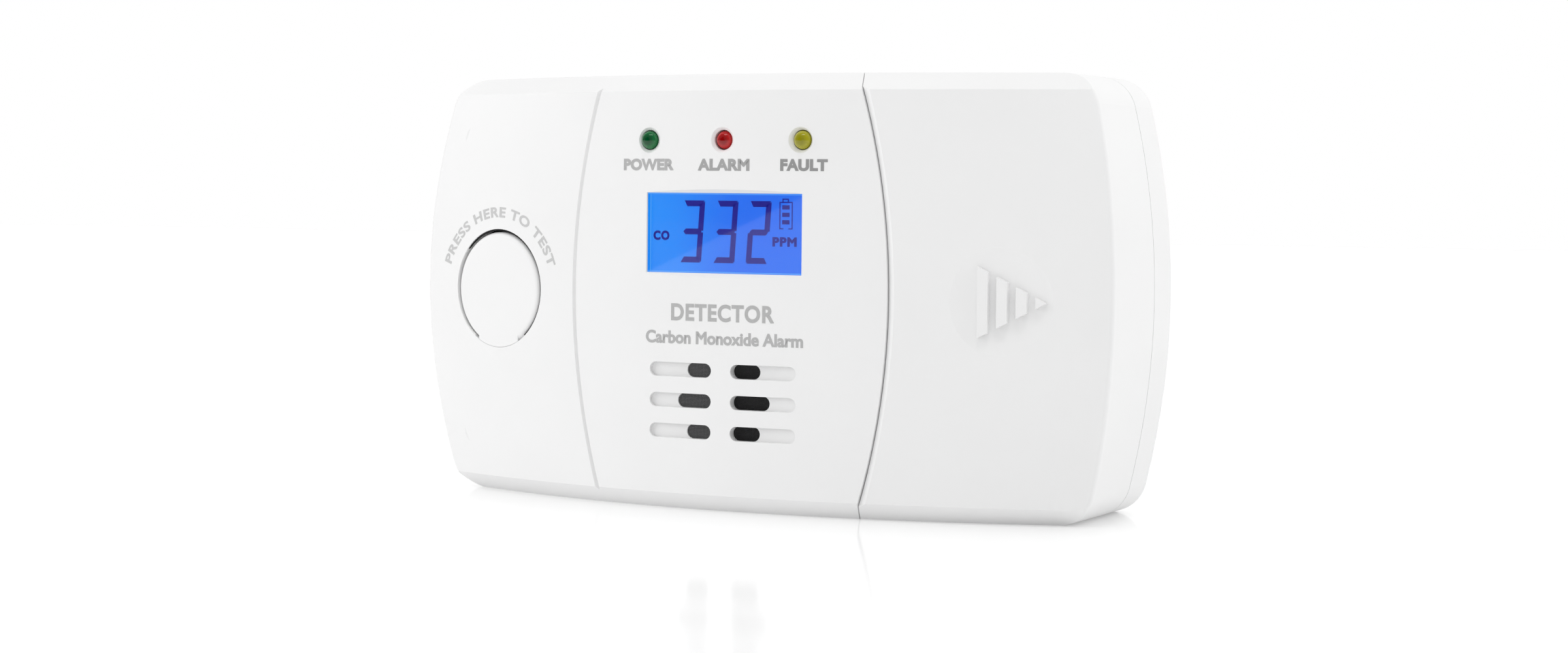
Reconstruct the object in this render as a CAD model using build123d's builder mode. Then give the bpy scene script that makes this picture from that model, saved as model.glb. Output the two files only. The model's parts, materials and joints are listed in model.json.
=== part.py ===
from build123d import *
import os
from math import asin, cos, sin, sqrt

os.makedirs("parts", exist_ok=True)

# ---------------------------------------------------------------- driving dimensions, mm
# Casing
width = 125.0
height = 70.0
casing_depth = 37.0
led_proud = 0.2  # LED domes stand this far in front of the casing
wall = 2.0
inner_chamfer_loss = 0.58  # share of an inset that the chamfer loses inside
bow_radius = 206.0  # front face, at mid height
end_bow_radius = 143.0  # front face, at the top and bottom
side_radius = 126.0  # bulge of the side walls
corner_radius = 6.3
front_chamfer = 2.7
back_round = 1.2
side_edge_round = 0.8
parting_depth = 28.2  # front cover and door end here, the rear cover begins
body_gap = 0.16  # between the door and the fixed casing
# Curved seams
seam_offset = 28.15  # from the middle, at mid height
seam_radius = 113.0
seam_bevel = 1.4
seam_bevel_depth = 0.5
groove_width = 0.8
groove_depth = 0.45
# Display
window_width = 27.9
window_height = 12.8
window_z = 44.6
window_bevel = 0.6
pane_margin = 1.2
pane_thickness = 1.0
# Indicators
led_spacing = 13.75
led_z = 59.45
led_radius = 1.5
led_hole_radius = 1.6
led_dimple = 0.45  # countersink around each indicator
# Grille
slot_inner = 1.73
slot_outer = 13.2
slot_height = 2.3
slot_pitch = 4.94
slot_recess = 0.9
grille_z = 17.7
grille_open_radius = 8.3
# Test button
button_x = -45.4
button_z = 34.7
button_hole_radius = 9.95
button_radius = 9.62
button_drop = 0.16  # the disc sits this much low in its hole
hinge_drop = 8.3  # the hinge bar lies this far below the hole's middle
hinge_bar_radius = 0.7
hinge_bar_length = 19.0
hinge_clearance = 0.15
cradle_spacing = 16.8
cradle_thickness = 1.6
cradle_height = 3.2
post_radius = 1.6
button_rim = 0.9
hinge_tab_gap = 0.05
hinge_tab_half = 4.65
hinge_tab_height = 5.0
# Door
arrow_start = 42.4
arrow_tip = 52.8
arrow_half_height = 5.5
arrow_bar = 1.6
arrow_pitch = 2.93
arrow_raise = 0.5
arrow_z = 34.6
dish_x = 45.9
dish_sink = 0.5
# Inside
board_front_depth = 14.5
board_thickness = 1.6
cell_diameter = 14.2
cell_length = 49.3
cell_x = (34.9, 49.3)
keyhole_spacing = 60.0
keyhole_radius = 4.0
keyhole_slot = 4.2
keyhole_z = 44.0
keyhole_rise = 7.0
lip_clearance = 0.2
lip_thickness = 1.0
lip_reach = 2.5
lip_height = 1.5
rib_thickness = 1.1
rib_reach = 4.4
rib_start = 30.0
rib_end = 52.0
dish_sphere = 95.0
plunger_front = 9.6
post_start = 6.6
post_gap = 0.02
label_x = 0.0
label_z = 17.0
label_width = 58.0
label_height = 20.0
boss_radius = 3.0
post_width_radius = 2.2
case_screw_bore = 1.2
board_screw_bore = 0.9
switch_side = 6.2
switch_depth = 3.5
switch_bore = 1.85
switch_plunger_radius = 1.75
switch_plunger_length = 2.4
lcd_width = 33.0
lcd_height = 18.0
led_flange = 0.4
led_flange_front = 4.8
led_base = 5.8
lead_pitch = 2.54
lead_side = 0.5
sounder_radius = 14.3
sounder_front = 3.6
sounder_back = 12.4
gasket_front = 2.75
gasket_bore = 12.4
disc_seat = 8.0
disc_seat_radius = 13.1

# ---------------------------------------------------------------- places worked out from them
overall_depth = casing_depth + led_proud
back_y = overall_depth / 2
front_y = back_y - casing_depth
mid_z = height / 2
parting_y = front_y + parting_depth
board_front_y = front_y + board_front_depth
board_back_y = board_front_y + board_thickness
pane_front_y = front_y + 0.8
pane_back_y = pane_front_y + pane_thickness
rear_lip_y = parting_y - lip_height
rail_y = front_y + 23.3
cell_y = front_y + 17.7
tray_back_y = front_y + 26.5
seam_centre_x = seam_offset - seam_radius
far = 2 * width


def facing(y):
    """Plane seen from the front at depth y: its X is +X, its Y is +Z and its normal is -Y."""
    return Plane.XZ.offset(-y)


def bow_radius_at(z):
    """Radius of the bowed front face at height z."""
    share = ((z - mid_z) / mid_z) ** 2
    return 1 / (1 / bow_radius + share * (1 / end_bow_radius - 1 / bow_radius))


def surface_y(x, z):
    """Depth of the front face at a point of the front view."""
    radius = bow_radius_at(z)
    return front_y + radius - sqrt(radius**2 - x**2)


def casing_form(inset):
    """The closed casing drawn in by inset all round: bowed front, chamfered above and below."""
    reach = width / 2 + 4
    side_at_top = width / 2 - side_radius + sqrt(side_radius**2 - mid_z**2)
    with BuildPart() as form:
        for level in (inset, mid_z, height - inset):
            radius = bow_radius_at(level)
            edge_y = front_y + inset + radius - sqrt(radius**2 - reach**2)
            with BuildSketch(Plane.XY.offset(level)):
                with BuildLine():
                    ThreePointArc((-reach, edge_y), (0, front_y + inset), (reach, edge_y))
                    Polyline((reach, edge_y), (reach, back_y + 5), (-reach, back_y + 5), (-reach, edge_y))
                make_face()
        loft()
        ends = form.faces().filter_by(Axis.Z)
        front_edges = [end.edges().sort_by(Axis.Y)[0] for end in ends]
        chamfer(front_edges, length=front_chamfer - inner_chamfer_loss * inset)
        with BuildSketch(facing(back_y - inset)):
            with BuildLine():
                ThreePointArc((side_at_top, 0), (width / 2, mid_z), (side_at_top, height))
                Line((side_at_top, height), (-side_at_top, height))
                ThreePointArc((-side_at_top, height), (-width / 2, mid_z), (-side_at_top, 0))
                Line((-side_at_top, 0), (side_at_top, 0))
            outline = make_face()
            fillet(outline.vertices(), radius=corner_radius)
            if inset:
                offset(amount=-inset, mode=Mode.REPLACE)
        extrude(amount=casing_depth + 5, mode=Mode.INTERSECT)
        if not inset:
            face = form.faces().sort_by(Axis.Y)[0]
            sides = [e for e in face.edges() if abs(e.center().X) > width / 2 - 8]
            fillet(sides, radius=side_edge_round)
            fillet(form.faces().sort_by(Axis.Y)[-1].edges(), radius=back_round)
    return form.part


outer_form = casing_form(0)
inner_form = casing_form(wall)


def finish(piece, name):
    """Labels a finished piece and writes it."""
    piece.part.label = name
    export_step(piece.part, f"parts/{name}.step")


def seam_disc(radius):
    """Disc of the right-hand seam seen from the front, as deep as the casing."""
    with BuildPart() as disc:
        with BuildSketch(facing(back_y + 5)):
            with Locations((seam_centre_x, mid_z)):
                Circle(radius)
        extrude(amount=overall_depth + 10)
    return disc.part


def seam_ring(profile, mirrored):
    """Solid swept round the seam circle by a profile of (outward distance, y) points."""
    side = -1 if mirrored else 1
    centre_x = side * seam_centre_x
    with BuildPart() as ring:
        with BuildSketch(Plane.XY.offset(mid_z)):
            with BuildLine():
                Polyline([(centre_x + side * (seam_radius + r), y) for r, y in profile], close=True)
            make_face()
        revolve(axis=Axis((centre_x, 0, mid_z), (0, 1, 0)))
    return ring.part


# ---------------------------------------------------------------- shared places
seam_y = surface_y(seam_offset, mid_z)
slope = asin(abs(button_x) / bow_radius)
button_y = surface_y(button_x, button_z)
button_plane = Plane(
    origin=(button_x, button_y, button_z),
    x_dir=(cos(slope), -sin(slope), 0),
    z_dir=(-sin(slope), -cos(slope), 0),
)
hinge_plane = button_plane.offset(-wall - hinge_bar_radius - 0.4)
hinge_line = Plane(
    origin=hinge_plane.origin - Vector(0, 0, hinge_drop),
    x_dir=(0, 0, 1),
    z_dir=hinge_plane.x_dir,
)
case_screw_places = [(-51.5, 10.5), (-51.5, height - 10.5), (15.5, 9.5), (led_spacing / 2, height - 8.0)]
board_screw_places = [(-34.0, 8.0), (-34.0, height - 8.0), (19.5, 30.0)]
led_places = [(-led_spacing, led_z), (0.0, led_z), (led_spacing, led_z)]
slot_rows = [(slot_pitch, 6.6), (0.0, grille_open_radius), (-slot_pitch, 6.6)]


def slot_sketch_items(outer):
    """Rows of full-round slots, from the middle gap out to the given reach of each row."""
    for rise, reach in slot_rows:
        end = outer or reach
        for side in (-1, 1):
            with Locations((side * (slot_inner + end) / 2, grille_z + rise)):
                SlotOverall(end - slot_inner, slot_height)


# ---------------------------------------------------------------- front cover
# Two cradles that hold the button's hinge bar.
with BuildPart() as hinge_cradles:
    with BuildSketch(hinge_plane.offset(-cradle_height / 2)):
        with Locations((-cradle_spacing / 2, -hinge_drop), (cradle_spacing / 2, -hinge_drop)):
            Rectangle(cradle_thickness, cradle_height)
    extrude(amount=cradle_height / 2 + hinge_bar_radius + 1)
    with BuildSketch(hinge_line.offset(-hinge_bar_length / 2 - 1)):
        Circle(hinge_bar_radius + hinge_clearance)
    extrude(amount=hinge_bar_length + 2, mode=Mode.SUBTRACT)

# Centre and left panels in one moulding, open at the back and at the right-hand seam.
with BuildPart() as front_cover:
    add(outer_form)
    add(inner_form, mode=Mode.SUBTRACT)
    # bosses for the case screws and posts for the board
    for x, z in case_screw_places:
        with BuildSketch(facing(parting_y)):
            with Locations((x, z)):
                Circle(boss_radius)
        extrude(amount=parting_y - surface_y(x, z) - 1)
    for x, z in board_screw_places:
        with BuildSketch(facing(board_front_y)):
            with Locations((x, z)):
                Circle(post_width_radius)
        extrude(amount=board_front_y - surface_y(x, z) - 1)
    # everything behind the parting line goes
    with BuildSketch(facing(back_y + 1)):
        Rectangle(far, far)
    extrude(amount=back_y + 1 - parting_y, mode=Mode.SUBTRACT)
    add(seam_disc(seam_radius), mode=Mode.INTERSECT)
    # screw holes
    for x, z in case_screw_places:
        with BuildSketch(facing(parting_y)):
            with Locations((x, z)):
                Circle(case_screw_bore)
        extrude(amount=14, mode=Mode.SUBTRACT)
    for x, z in board_screw_places:
        with BuildSketch(facing(board_front_y)):
            with Locations((x, z)):
                Circle(board_screw_bore)
        extrude(amount=6, mode=Mode.SUBTRACT)
    # moulded groove that mirrors the right-hand seam
    groove_top = front_y - 1
    groove_profile = [
        (0, seam_y + groove_depth),
        (0, groove_top),
        (groove_width + (seam_y + groove_depth - groove_top), groove_top),
        (groove_width * 0.4, seam_y + groove_depth),
    ]
    add(seam_ring(groove_profile, mirrored=True), mode=Mode.SUBTRACT)
    # display window: bevelled opening, then a pocket for the pane from behind
    with BuildSketch(facing(front_y + window_bevel)):
        with Locations((0, window_z)):
            Rectangle(window_width, window_height)
    extrude(amount=2, taper=-45, mode=Mode.SUBTRACT)
    with BuildSketch(facing(front_y + wall + 1)):
        with Locations((0, window_z)):
            Rectangle(window_width, window_height)
    extrude(amount=wall + 2, mode=Mode.SUBTRACT)
    with BuildSketch(facing(front_y + wall + 1.5)):
        with Locations((0, window_z)):
            Rectangle(window_width + 2 * pane_margin + 0.2, window_height + 2 * pane_margin + 0.2)
    extrude(amount=wall + 1.5 - (pane_front_y - front_y), mode=Mode.SUBTRACT)
    # holes for the indicators
    with BuildSketch(facing(front_y + wall + 3)):
        with Locations(*led_places):
            Circle(led_hole_radius)
    extrude(amount=wall + 5, mode=Mode.SUBTRACT)
    for x, z in led_places:
        with BuildSketch(facing(surface_y(x, z) + led_dimple)):
            with Locations((x, z)):
                Circle(led_hole_radius)
        extrude(amount=1.5, taper=-45, mode=Mode.SUBTRACT)
    # grille: shallow slots, cut through near the middle
    with BuildSketch(facing(front_y + slot_recess + 0.2)):
        slot_sketch_items(slot_outer)
    extrude(amount=slot_recess + 2, mode=Mode.SUBTRACT)
    with BuildSketch(facing(front_y + wall + 2)):
        slot_sketch_items(None)
    extrude(amount=wall + 4, mode=Mode.SUBTRACT)
    # round hole for the test button
    with BuildSketch(button_plane.offset(-wall - 2)):
        Circle(button_hole_radius)
    extrude(amount=wall + 4, mode=Mode.SUBTRACT)
    add(hinge_cradles.part)
finish(front_cover, "front_cover")

# ---------------------------------------------------------------- battery door
door_edge = seam_radius + body_gap
dish_slope = asin(dish_x / bow_radius)
dish_plane = Plane(
    origin=(dish_x, surface_y(dish_x, arrow_z), arrow_z),
    x_dir=(cos(dish_slope), sin(dish_slope), 0),
    z_dir=(sin(dish_slope), -cos(dish_slope), 0),
)
lip_outer = casing_form(wall + lip_clearance)
lip_inner = casing_form(wall + lip_clearance + lip_thickness)

# Lip that closes the seam from behind: it reaches under the front cover's edge.
with BuildPart() as door_lip:
    add(casing_form(wall / 2))
    add(seam_disc(door_edge), mode=Mode.SUBTRACT)
    add(lip_outer)
    add(lip_inner, mode=Mode.SUBTRACT)
    add(seam_disc(door_edge + 1.8), mode=Mode.INTERSECT)
    add(seam_disc(seam_radius - lip_reach), mode=Mode.SUBTRACT)
    with BuildSketch(facing(back_y + 1)):
        Rectangle(far, far)
    extrude(amount=back_y + 1 - rear_lip_y + body_gap, mode=Mode.SUBTRACT)

# Arrow of upright bars, each cut to the outline of one triangle, proud of the face.
with BuildPart() as arrow:
    with BuildSketch(facing(surface_y(arrow_tip, arrow_z) + wall + 1)):
        with BuildLine():
            Polyline(
                (arrow_start, arrow_z - arrow_half_height),
                (arrow_tip, arrow_z),
                (arrow_start, arrow_z + arrow_half_height),
                close=True,
            )
        make_face()
        for bar in range(3):
            gap_start = arrow_start + arrow_bar + bar * arrow_pitch
            with Locations((gap_start + (arrow_pitch - arrow_bar) / 2, arrow_z)):
                Rectangle(arrow_pitch - arrow_bar, height, mode=Mode.SUBTRACT)
    extrude(amount=casing_depth)
    add(outer_form.moved(Location((0, -arrow_raise, 0))), mode=Mode.INTERSECT)
    add(inner_form, mode=Mode.SUBTRACT)

with BuildPart() as battery_door:
    add(outer_form)
    add(inner_form, mode=Mode.SUBTRACT)
    with BuildSketch(facing(back_y + 1)):
        Rectangle(far, far)
    extrude(amount=back_y + 1 - parting_y + body_gap, mode=Mode.SUBTRACT)
    add(seam_disc(door_edge), mode=Mode.SUBTRACT)
    # bevelled band along the seam
    bevel_profile = [
        (body_gap - 1, seam_y + seam_bevel_depth),
        (body_gap, seam_y + seam_bevel_depth),
        (body_gap + seam_bevel, seam_y),
        (body_gap + seam_bevel, seam_y - 3),
        (body_gap - 1, seam_y - 3),
    ]
    add(seam_ring(bevel_profile, mirrored=False), mode=Mode.SUBTRACT)
    add(door_lip.part)
    # guide ribs that run in the tray's rails
    for z in (wall / 2 + rib_reach / 2, height - wall / 2 - rib_reach / 2):
        with BuildSketch(facing(rail_y + rib_thickness / 2)):
            with Locations(((rib_start + rib_end) / 2, z)):
                Rectangle(rib_end - rib_start, rib_reach)
        extrude(amount=rib_thickness)
    # thumb dish and the raised arrow on it
    with Locations(dish_plane.offset(dish_sphere - dish_sink).origin):
        Sphere(dish_sphere, mode=Mode.SUBTRACT)
    add(arrow.part)
finish(battery_door, "battery_door")


def rod(x, z, radius, start, end):
    """Adds a round bar along Y between two depths behind the casing's front to the open block."""
    with BuildSketch(facing(front_y + end)) as section:
        with Locations((x, z)):
            Circle(radius)
    extrude(section.sketch, amount=end - start)


def plate(x, z, wide, tall, start, end, mode=Mode.ADD):
    """Adds a flat block between two depths behind the casing's front to the open block."""
    with BuildSketch(facing(front_y + end)) as section:
        with Locations((x, z)):
            Rectangle(wide, tall)
    extrude(section.sketch, amount=end - start, mode=mode)


# ---------------------------------------------------------------- test button
# Round flap cut from the same bowed wall: a bar on its back turns in the cover's cradles,
# and a round-ended post presses the switch.
post_end = plunger_front - post_gap
# Tab that closes the gap below the flap, where it turns.
with BuildPart() as hinge_tab:
    add(outer_form)
    with BuildSketch(button_plane.offset(-wall - 2)):
        Circle(button_hole_radius - hinge_tab_gap)
        with Locations((0, -button_hole_radius)):
            Rectangle(2 * hinge_tab_half, hinge_tab_height, mode=Mode.INTERSECT)
    extrude(amount=wall + 4, mode=Mode.INTERSECT)
    add(inner_form, mode=Mode.SUBTRACT)

with BuildPart() as test_button:
    add(outer_form)
    with BuildSketch(button_plane.offset(-wall - 2)):
        with Locations((0, -button_drop)):
            Circle(button_radius)
    extrude(amount=wall + 4, mode=Mode.INTERSECT)
    add(inner_form, mode=Mode.SUBTRACT)
    rim = test_button.faces().sort_by(Axis.Y)[0].edges()
    fillet(rim, radius=button_rim)
    add(hinge_tab.part)
    rod(button_x, button_z, post_radius, post_start, post_end - post_radius)
    with Locations((button_x, front_y + post_end - post_radius, button_z)):
        Sphere(post_radius)
    with BuildSketch(hinge_line.offset(-hinge_bar_length / 2)):
        Circle(hinge_bar_radius)
    extrude(amount=hinge_bar_length)
    with BuildSketch(hinge_plane):
        with Locations((0, -hinge_drop)):
            Rectangle(7.0, 1.2)
    extrude(amount=hinge_bar_radius + 0.6)
finish(test_button, "test_button")

with BuildPart() as switch_plunger:
    rod(button_x, button_z, switch_plunger_radius, plunger_front, plunger_front + switch_plunger_length)
    chamfer(switch_plunger.edges().sort_by(Axis.Y)[0], length=0.25)
finish(switch_plunger, "switch_plunger")

with BuildPart() as switch_body:
    plate(button_x, button_z, switch_side, switch_side, board_front_depth - switch_depth, board_front_depth)
    fillet(switch_body.edges().filter_by(Axis.Y), radius=0.5)
    with BuildSketch(facing(board_front_y - switch_depth)):
        with Locations((button_x, button_z)):
            Circle(switch_bore)
    extrude(amount=-1.8, mode=Mode.SUBTRACT)
    for dx in (-2.2, 2.2):
        for dz in (-2.2, 2.2):
            rod(button_x + dx, button_z + dz, 0.45, board_front_depth - 3.8, board_front_depth - 3.4)
finish(switch_body, "switch_body")

# ---------------------------------------------------------------- display
with BuildPart() as display_window:
    plate(
        0,
        window_z,
        window_width + 2 * pane_margin,
        window_height + 2 * pane_margin,
        pane_front_y - front_y,
        pane_back_y - front_y,
    )
    fillet(display_window.edges().filter_by(Axis.Y), radius=0.8)
finish(display_window, "display_window")

lcd_front = 2.9
lcd_back = 5.1
light_back = 7.6
with BuildPart() as lcd_panel:
    plate(0, window_z, lcd_width, lcd_height, lcd_front, (lcd_front + lcd_back) / 2)
    plate(0, window_z, lcd_width, lcd_height - 2, (lcd_front + lcd_back) / 2, lcd_back)
finish(lcd_panel, "lcd_panel")

with BuildPart() as backlight_plate:
    plate(0, window_z, 31.0, 12.8, lcd_back, light_back)
    fillet(backlight_plate.edges().filter_by(Axis.Y), radius=0.6)
finish(backlight_plate, "backlight_plate")

with BuildPart() as lcd_frame:
    plate(0, window_z, lcd_width + 3, lcd_height + 3, lcd_front + 0.4, board_front_depth)
    fillet(lcd_frame.edges().filter_by(Axis.Y), radius=1.5)
    plate(0, window_z, lcd_width + 0.2, lcd_height + 0.2, 0, board_front_depth + 1, mode=Mode.SUBTRACT)
finish(lcd_frame, "lcd_frame")

with BuildPart() as zebra_connectors:
    for side in (-1, 1):
        plate(0, window_z + side * 7.3, 31.0, 1.3, lcd_back, board_front_depth)
finish(zebra_connectors, "zebra_connectors")

# ---------------------------------------------------------------- indicators
led_names = ("power_led", "alarm_led", "fault_led")
for (x, z), led_name in zip(led_places, led_names):
    with BuildPart() as led:
        rod(x, z, led_radius, led_radius - led_proud, led_flange_front)
        rod(x, z, led_radius + led_flange, led_flange_front, led_base)
        with Locations((x, front_y - led_proud + led_radius, z)):
            Sphere(led_radius)
    finish(led, led_name)

with BuildPart() as led_leads:
    for x, z in led_places:
        for dx in (-lead_pitch / 2, lead_pitch / 2):
            plate(x + dx, z, lead_side, lead_side, led_base, board_front_depth)
finish(led_leads, "led_leads")

# ---------------------------------------------------------------- sounder
with BuildPart() as sounder_housing:
    rod(0, grille_z, sounder_radius, sounder_front, sounder_back)
    with BuildSketch(facing(front_y + sounder_back - 1)):
        with Locations((0, grille_z)):
            Circle(11.5)
    extrude(amount=casing_depth, mode=Mode.SUBTRACT)
    with BuildSketch(facing(front_y + disc_seat)):
        with Locations((0, grille_z)):
            Circle(disc_seat_radius)
    extrude(amount=casing_depth, mode=Mode.SUBTRACT)
    with BuildSketch(facing(front_y + sounder_back + 1)):
        with Locations((-6, grille_z), (12.2, grille_z)):
            Circle(0.7)
    extrude(amount=3, mode=Mode.SUBTRACT)
finish(sounder_housing, "sounder_housing")

with BuildPart() as sounder_gasket:
    rod(0, grille_z, sounder_radius, gasket_front, sounder_front)
    with BuildSketch(facing(front_y + sounder_front + 1)):
        with Locations((0, grille_z)):
            Circle(gasket_bore)
    extrude(amount=3, mode=Mode.SUBTRACT)
finish(sounder_gasket, "sounder_gasket")

with BuildPart() as piezo_disc:
    rod(0, grille_z, disc_seat_radius - 0.1, disc_seat - 0.25, disc_seat)
finish(piezo_disc, "piezo_disc")

with BuildPart() as piezo_ceramic:
    rod(0, grille_z, 9.0, disc_seat, disc_seat + 0.3)
finish(piezo_ceramic, "piezo_ceramic")

with BuildPart() as piezo_contact:
    rod(-6, grille_z, 0.5, disc_seat + 0.3, board_front_depth)
finish(piezo_contact, "piezo_contact")

# ---------------------------------------------------------------- circuit board
board_left = -56.5
board_right = 23.0
board_low = 5.0
with BuildPart() as circuit_board:
    plate(
        (board_left + board_right) / 2,
        mid_z,
        board_right - board_left,
        height - 2 * board_low,
        board_front_depth,
        board_front_depth + board_thickness,
    )
    add(casing_form(wall + 0.8), mode=Mode.INTERSECT)
    with BuildSketch(facing(board_back_y + 1)):
        with Locations(*case_screw_places):
            Circle(3.6)
        with Locations(*board_screw_places):
            Circle(1.1)
    extrude(amount=board_thickness + 2, mode=Mode.SUBTRACT)
finish(circuit_board, "circuit_board")

board_rear = board_front_depth + board_thickness
chip_x = -30.0
chip_z = 36.0
with BuildPart() as microcontroller:
    plate(chip_x, chip_z, 7.0, 7.0, board_rear + 0.1, board_rear + 1.3)
    chamfer(microcontroller.edges().filter_by(Axis.Y), length=0.4)
finish(microcontroller, "microcontroller")

with BuildPart() as chip_leads:
    for step in range(8):
        along = (step - 3.5) * 0.8
        for side in (-1, 1):
            plate(chip_x + along, chip_z + side * 4.0, 0.35, 1.0, board_rear, board_rear + 0.5)
            plate(chip_x + side * 4.0, chip_z + along, 1.0, 0.35, board_rear, board_rear + 0.5)
finish(chip_leads, "chip_leads")

with BuildPart() as chip_resistors:
    for column in range(5):
        for row in range(3):
            plate(-46.0 + column * 5.0, 14.0 + row * 4.5, 2.0, 1.25, board_rear, board_rear + 0.6)
finish(chip_resistors, "chip_resistors")

with BuildPart() as capacitors:
    for z in (46.0, 54.0):
        rod(-46.0, z, 3.15, board_rear, board_rear + 7.0)
    fillet(capacitors.faces().group_by(Axis.Y)[-1].edges(), radius=0.4)
finish(capacitors, "capacitors")

with BuildPart() as boost_core:
    rod(8, 24, 4.2, board_rear, board_rear + 1.0)
    rod(8, 24, 2.0, board_rear, board_rear + 5.0)
    rod(8, 24, 4.2, board_rear + 4.0, board_rear + 5.0)
finish(boost_core, "boost_core")

with BuildPart() as boost_winding:
    rod(8, 24, 3.7, board_rear + 1.0, board_rear + 4.0)
    with BuildSketch(facing(front_y + board_rear + 5)):
        with Locations((8, 24)):
            Circle(2.0)
    extrude(amount=6, mode=Mode.SUBTRACT)
finish(boost_winding, "boost_winding")

# ---------------------------------------------------------------- gas sensor, behind the board
sensor_x = -6.0
sensor_z = 47.0
with BuildPart() as sensor_can:
    rod(sensor_x, sensor_z, 10.0, board_rear + 0.5, board_rear + 13.5)
    fillet(sensor_can.faces().sort_by(Axis.Y)[0].edges(), radius=0.6)
finish(sensor_can, "sensor_can")

with BuildPart() as sensor_cap:
    rod(sensor_x, sensor_z, 8.6, board_rear + 13.5, board_rear + 16.0)
    fillet(sensor_cap.faces().sort_by(Axis.Y)[-1].edges(), radius=0.8)
    with BuildSketch(facing(front_y + board_rear + 17)):
        with Locations((sensor_x, sensor_z)):
            Circle(1.2)
            with PolarLocations(4.5, 6):
                Circle(0.7)
    extrude(amount=2.5, mode=Mode.SUBTRACT)
finish(sensor_cap, "sensor_cap")

with BuildPart() as sensor_pins:
    with BuildSketch(facing(front_y + board_rear + 0.5)):
        with Locations((sensor_x, sensor_z)):
            with PolarLocations(6.5, 3, start_angle=90):
                Circle(0.75)
    extrude(amount=0.5)
finish(sensor_pins, "sensor_pins")

# ---------------------------------------------------------------- battery tray and cells
tray_left = cell_x[0] - cell_diameter / 2 - 1.9
tray_right = cell_x[1] + cell_diameter / 2 + 1.0
tray_inner_half = 26.7
tray_outer_half = 28.1
tray_middle = (tray_left + tray_right) / 2
rail_gap = 0.2  # between the rails and the door's sliding lip
rail_height = mid_z - tray_outer_half - wall - lip_clearance - lip_thickness - rail_gap
bay_left = tray_left + 1.7
bay_right = tray_right - 0.9
bay_middle = (bay_left + bay_right) / 2
tray_back = tray_back_y - front_y
tray_screw_places = [(sum(cell_x) / 2, 20.0), (sum(cell_x) / 2, 51.0)]
contact_thickness = 0.4
top_contact_z = mid_z + tray_inner_half - contact_thickness / 2
tail_z = top_contact_z
tail_end = board_right - 2.5
cell_depth = cell_y - front_y
with BuildPart() as battery_tray:
    plate(tray_middle, mid_z, tray_right - tray_left, 2 * tray_outer_half, 11.0, tray_back)
    add(casing_form(wall + 0.6), mode=Mode.INTERSECT)
    plate(bay_middle, mid_z, bay_right - bay_left, 2 * tray_inner_half, 5.0, tray_back - 1.5, mode=Mode.SUBTRACT)
    # rails above and below for the door's guide ribs
    for side in (-1, 1):
        for step in (-1, 1):
            middle = rail_y - front_y + step * (rib_thickness / 2 + 0.25 + 0.5)
            rail_z = mid_z + side * (tray_outer_half + rail_height / 2)
            rail_x = (rib_start + rib_end) / 2 + 1
            plate(rail_x, rail_z, rib_end - rib_start, rail_height, middle - 0.5, middle + 0.5)
    # slots for the contact tails and holes for the screws
    plate(tray_left, tail_z, 6.0, 0.8, 12.3, 14.7, mode=Mode.SUBTRACT)
    plate(tray_left, tail_z, 6.0, 0.8, 20.3, 22.7, mode=Mode.SUBTRACT)
    with BuildSketch(facing(tray_back_y + 1)):
        with Locations(*tray_screw_places):
            Circle(1.3)
    extrude(amount=4, mode=Mode.SUBTRACT)
finish(battery_tray, "battery_tray")

nub = 1.2
first_low = mid_z + tray_inner_half - contact_thickness - nub - cell_length
second_low = mid_z - tray_inner_half + contact_thickness + nub
cell_ends = [(cell_x[0], first_low, 1), (cell_x[1], second_low, -1)]
sleeve = 0.15
with BuildPart() as battery_cells:
    for x, low, up in cell_ends:
        with BuildSketch(Plane.XY.offset(low)):
            with Locations((x, cell_y)):
                Circle(cell_diameter / 2 - sleeve)
        extrude(amount=cell_length)
        nub_start = low + cell_length if up > 0 else low - nub
        with BuildSketch(Plane.XY.offset(nub_start)):
            with Locations((x, cell_y)):
                Circle(2.7)
        extrude(amount=nub)
finish(battery_cells, "battery_cells")

with BuildPart() as battery_sleeves:
    for x, low, up in cell_ends:
        with BuildSketch(Plane.XY.offset(low + 0.3)):
            with Locations((x, cell_y)):
                Circle(cell_diameter / 2)
                Circle(cell_diameter / 2 - sleeve, mode=Mode.SUBTRACT)
        extrude(amount=cell_length - 0.6)
finish(battery_sleeves, "battery_sleeves")

# Coil springs press on the flat ends of the cells.
wire = 0.35
spring_room = 2 * tray_inner_half - 2 * contact_thickness - nub - cell_length
spring_starts = [
    (cell_x[0], mid_z - tray_inner_half + contact_thickness),
    (cell_x[1], second_low + cell_length),
]
with BuildPart() as battery_springs:
    for x, low in spring_starts:
        with BuildLine(Plane((x, cell_y, low + wire))) as coil:
            Helix(pitch=(spring_room - 2 * wire) / 2, height=spring_room - 2 * wire, radius=3.6)
        with BuildSketch(Plane(origin=coil.line @ 0, z_dir=coil.line % 0)):
            Circle(wire)
        sweep(path=coil.line, is_frenet=True)
finish(battery_springs, "battery_springs")

with BuildPart() as contact_plates:
    for x in cell_x:
        with BuildSketch(Plane.XY.offset(top_contact_z - contact_thickness / 2)):
            with Locations((x, cell_y)):
                Rectangle(11.0, 9.0)
        extrude(amount=contact_thickness)
    first_tail = cell_x[0] - 5.0
    plate((first_tail + tail_end) / 2, tail_z, first_tail - tail_end, contact_thickness, 12.5, 14.5)
    second_tail = cell_x[1] - 2.0
    plate((second_tail + 24.2) / 2, tail_z, second_tail - 24.2, contact_thickness, 20.5, 22.5)
    plate((tail_end + 24.2) / 2, tail_z, 24.2 - tail_end, contact_thickness, board_rear, 22.5)
    plate(cell_x[1], tail_z, 6.0, contact_thickness, cell_depth, 22.5)
finish(contact_plates, "contact_plates")

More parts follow.
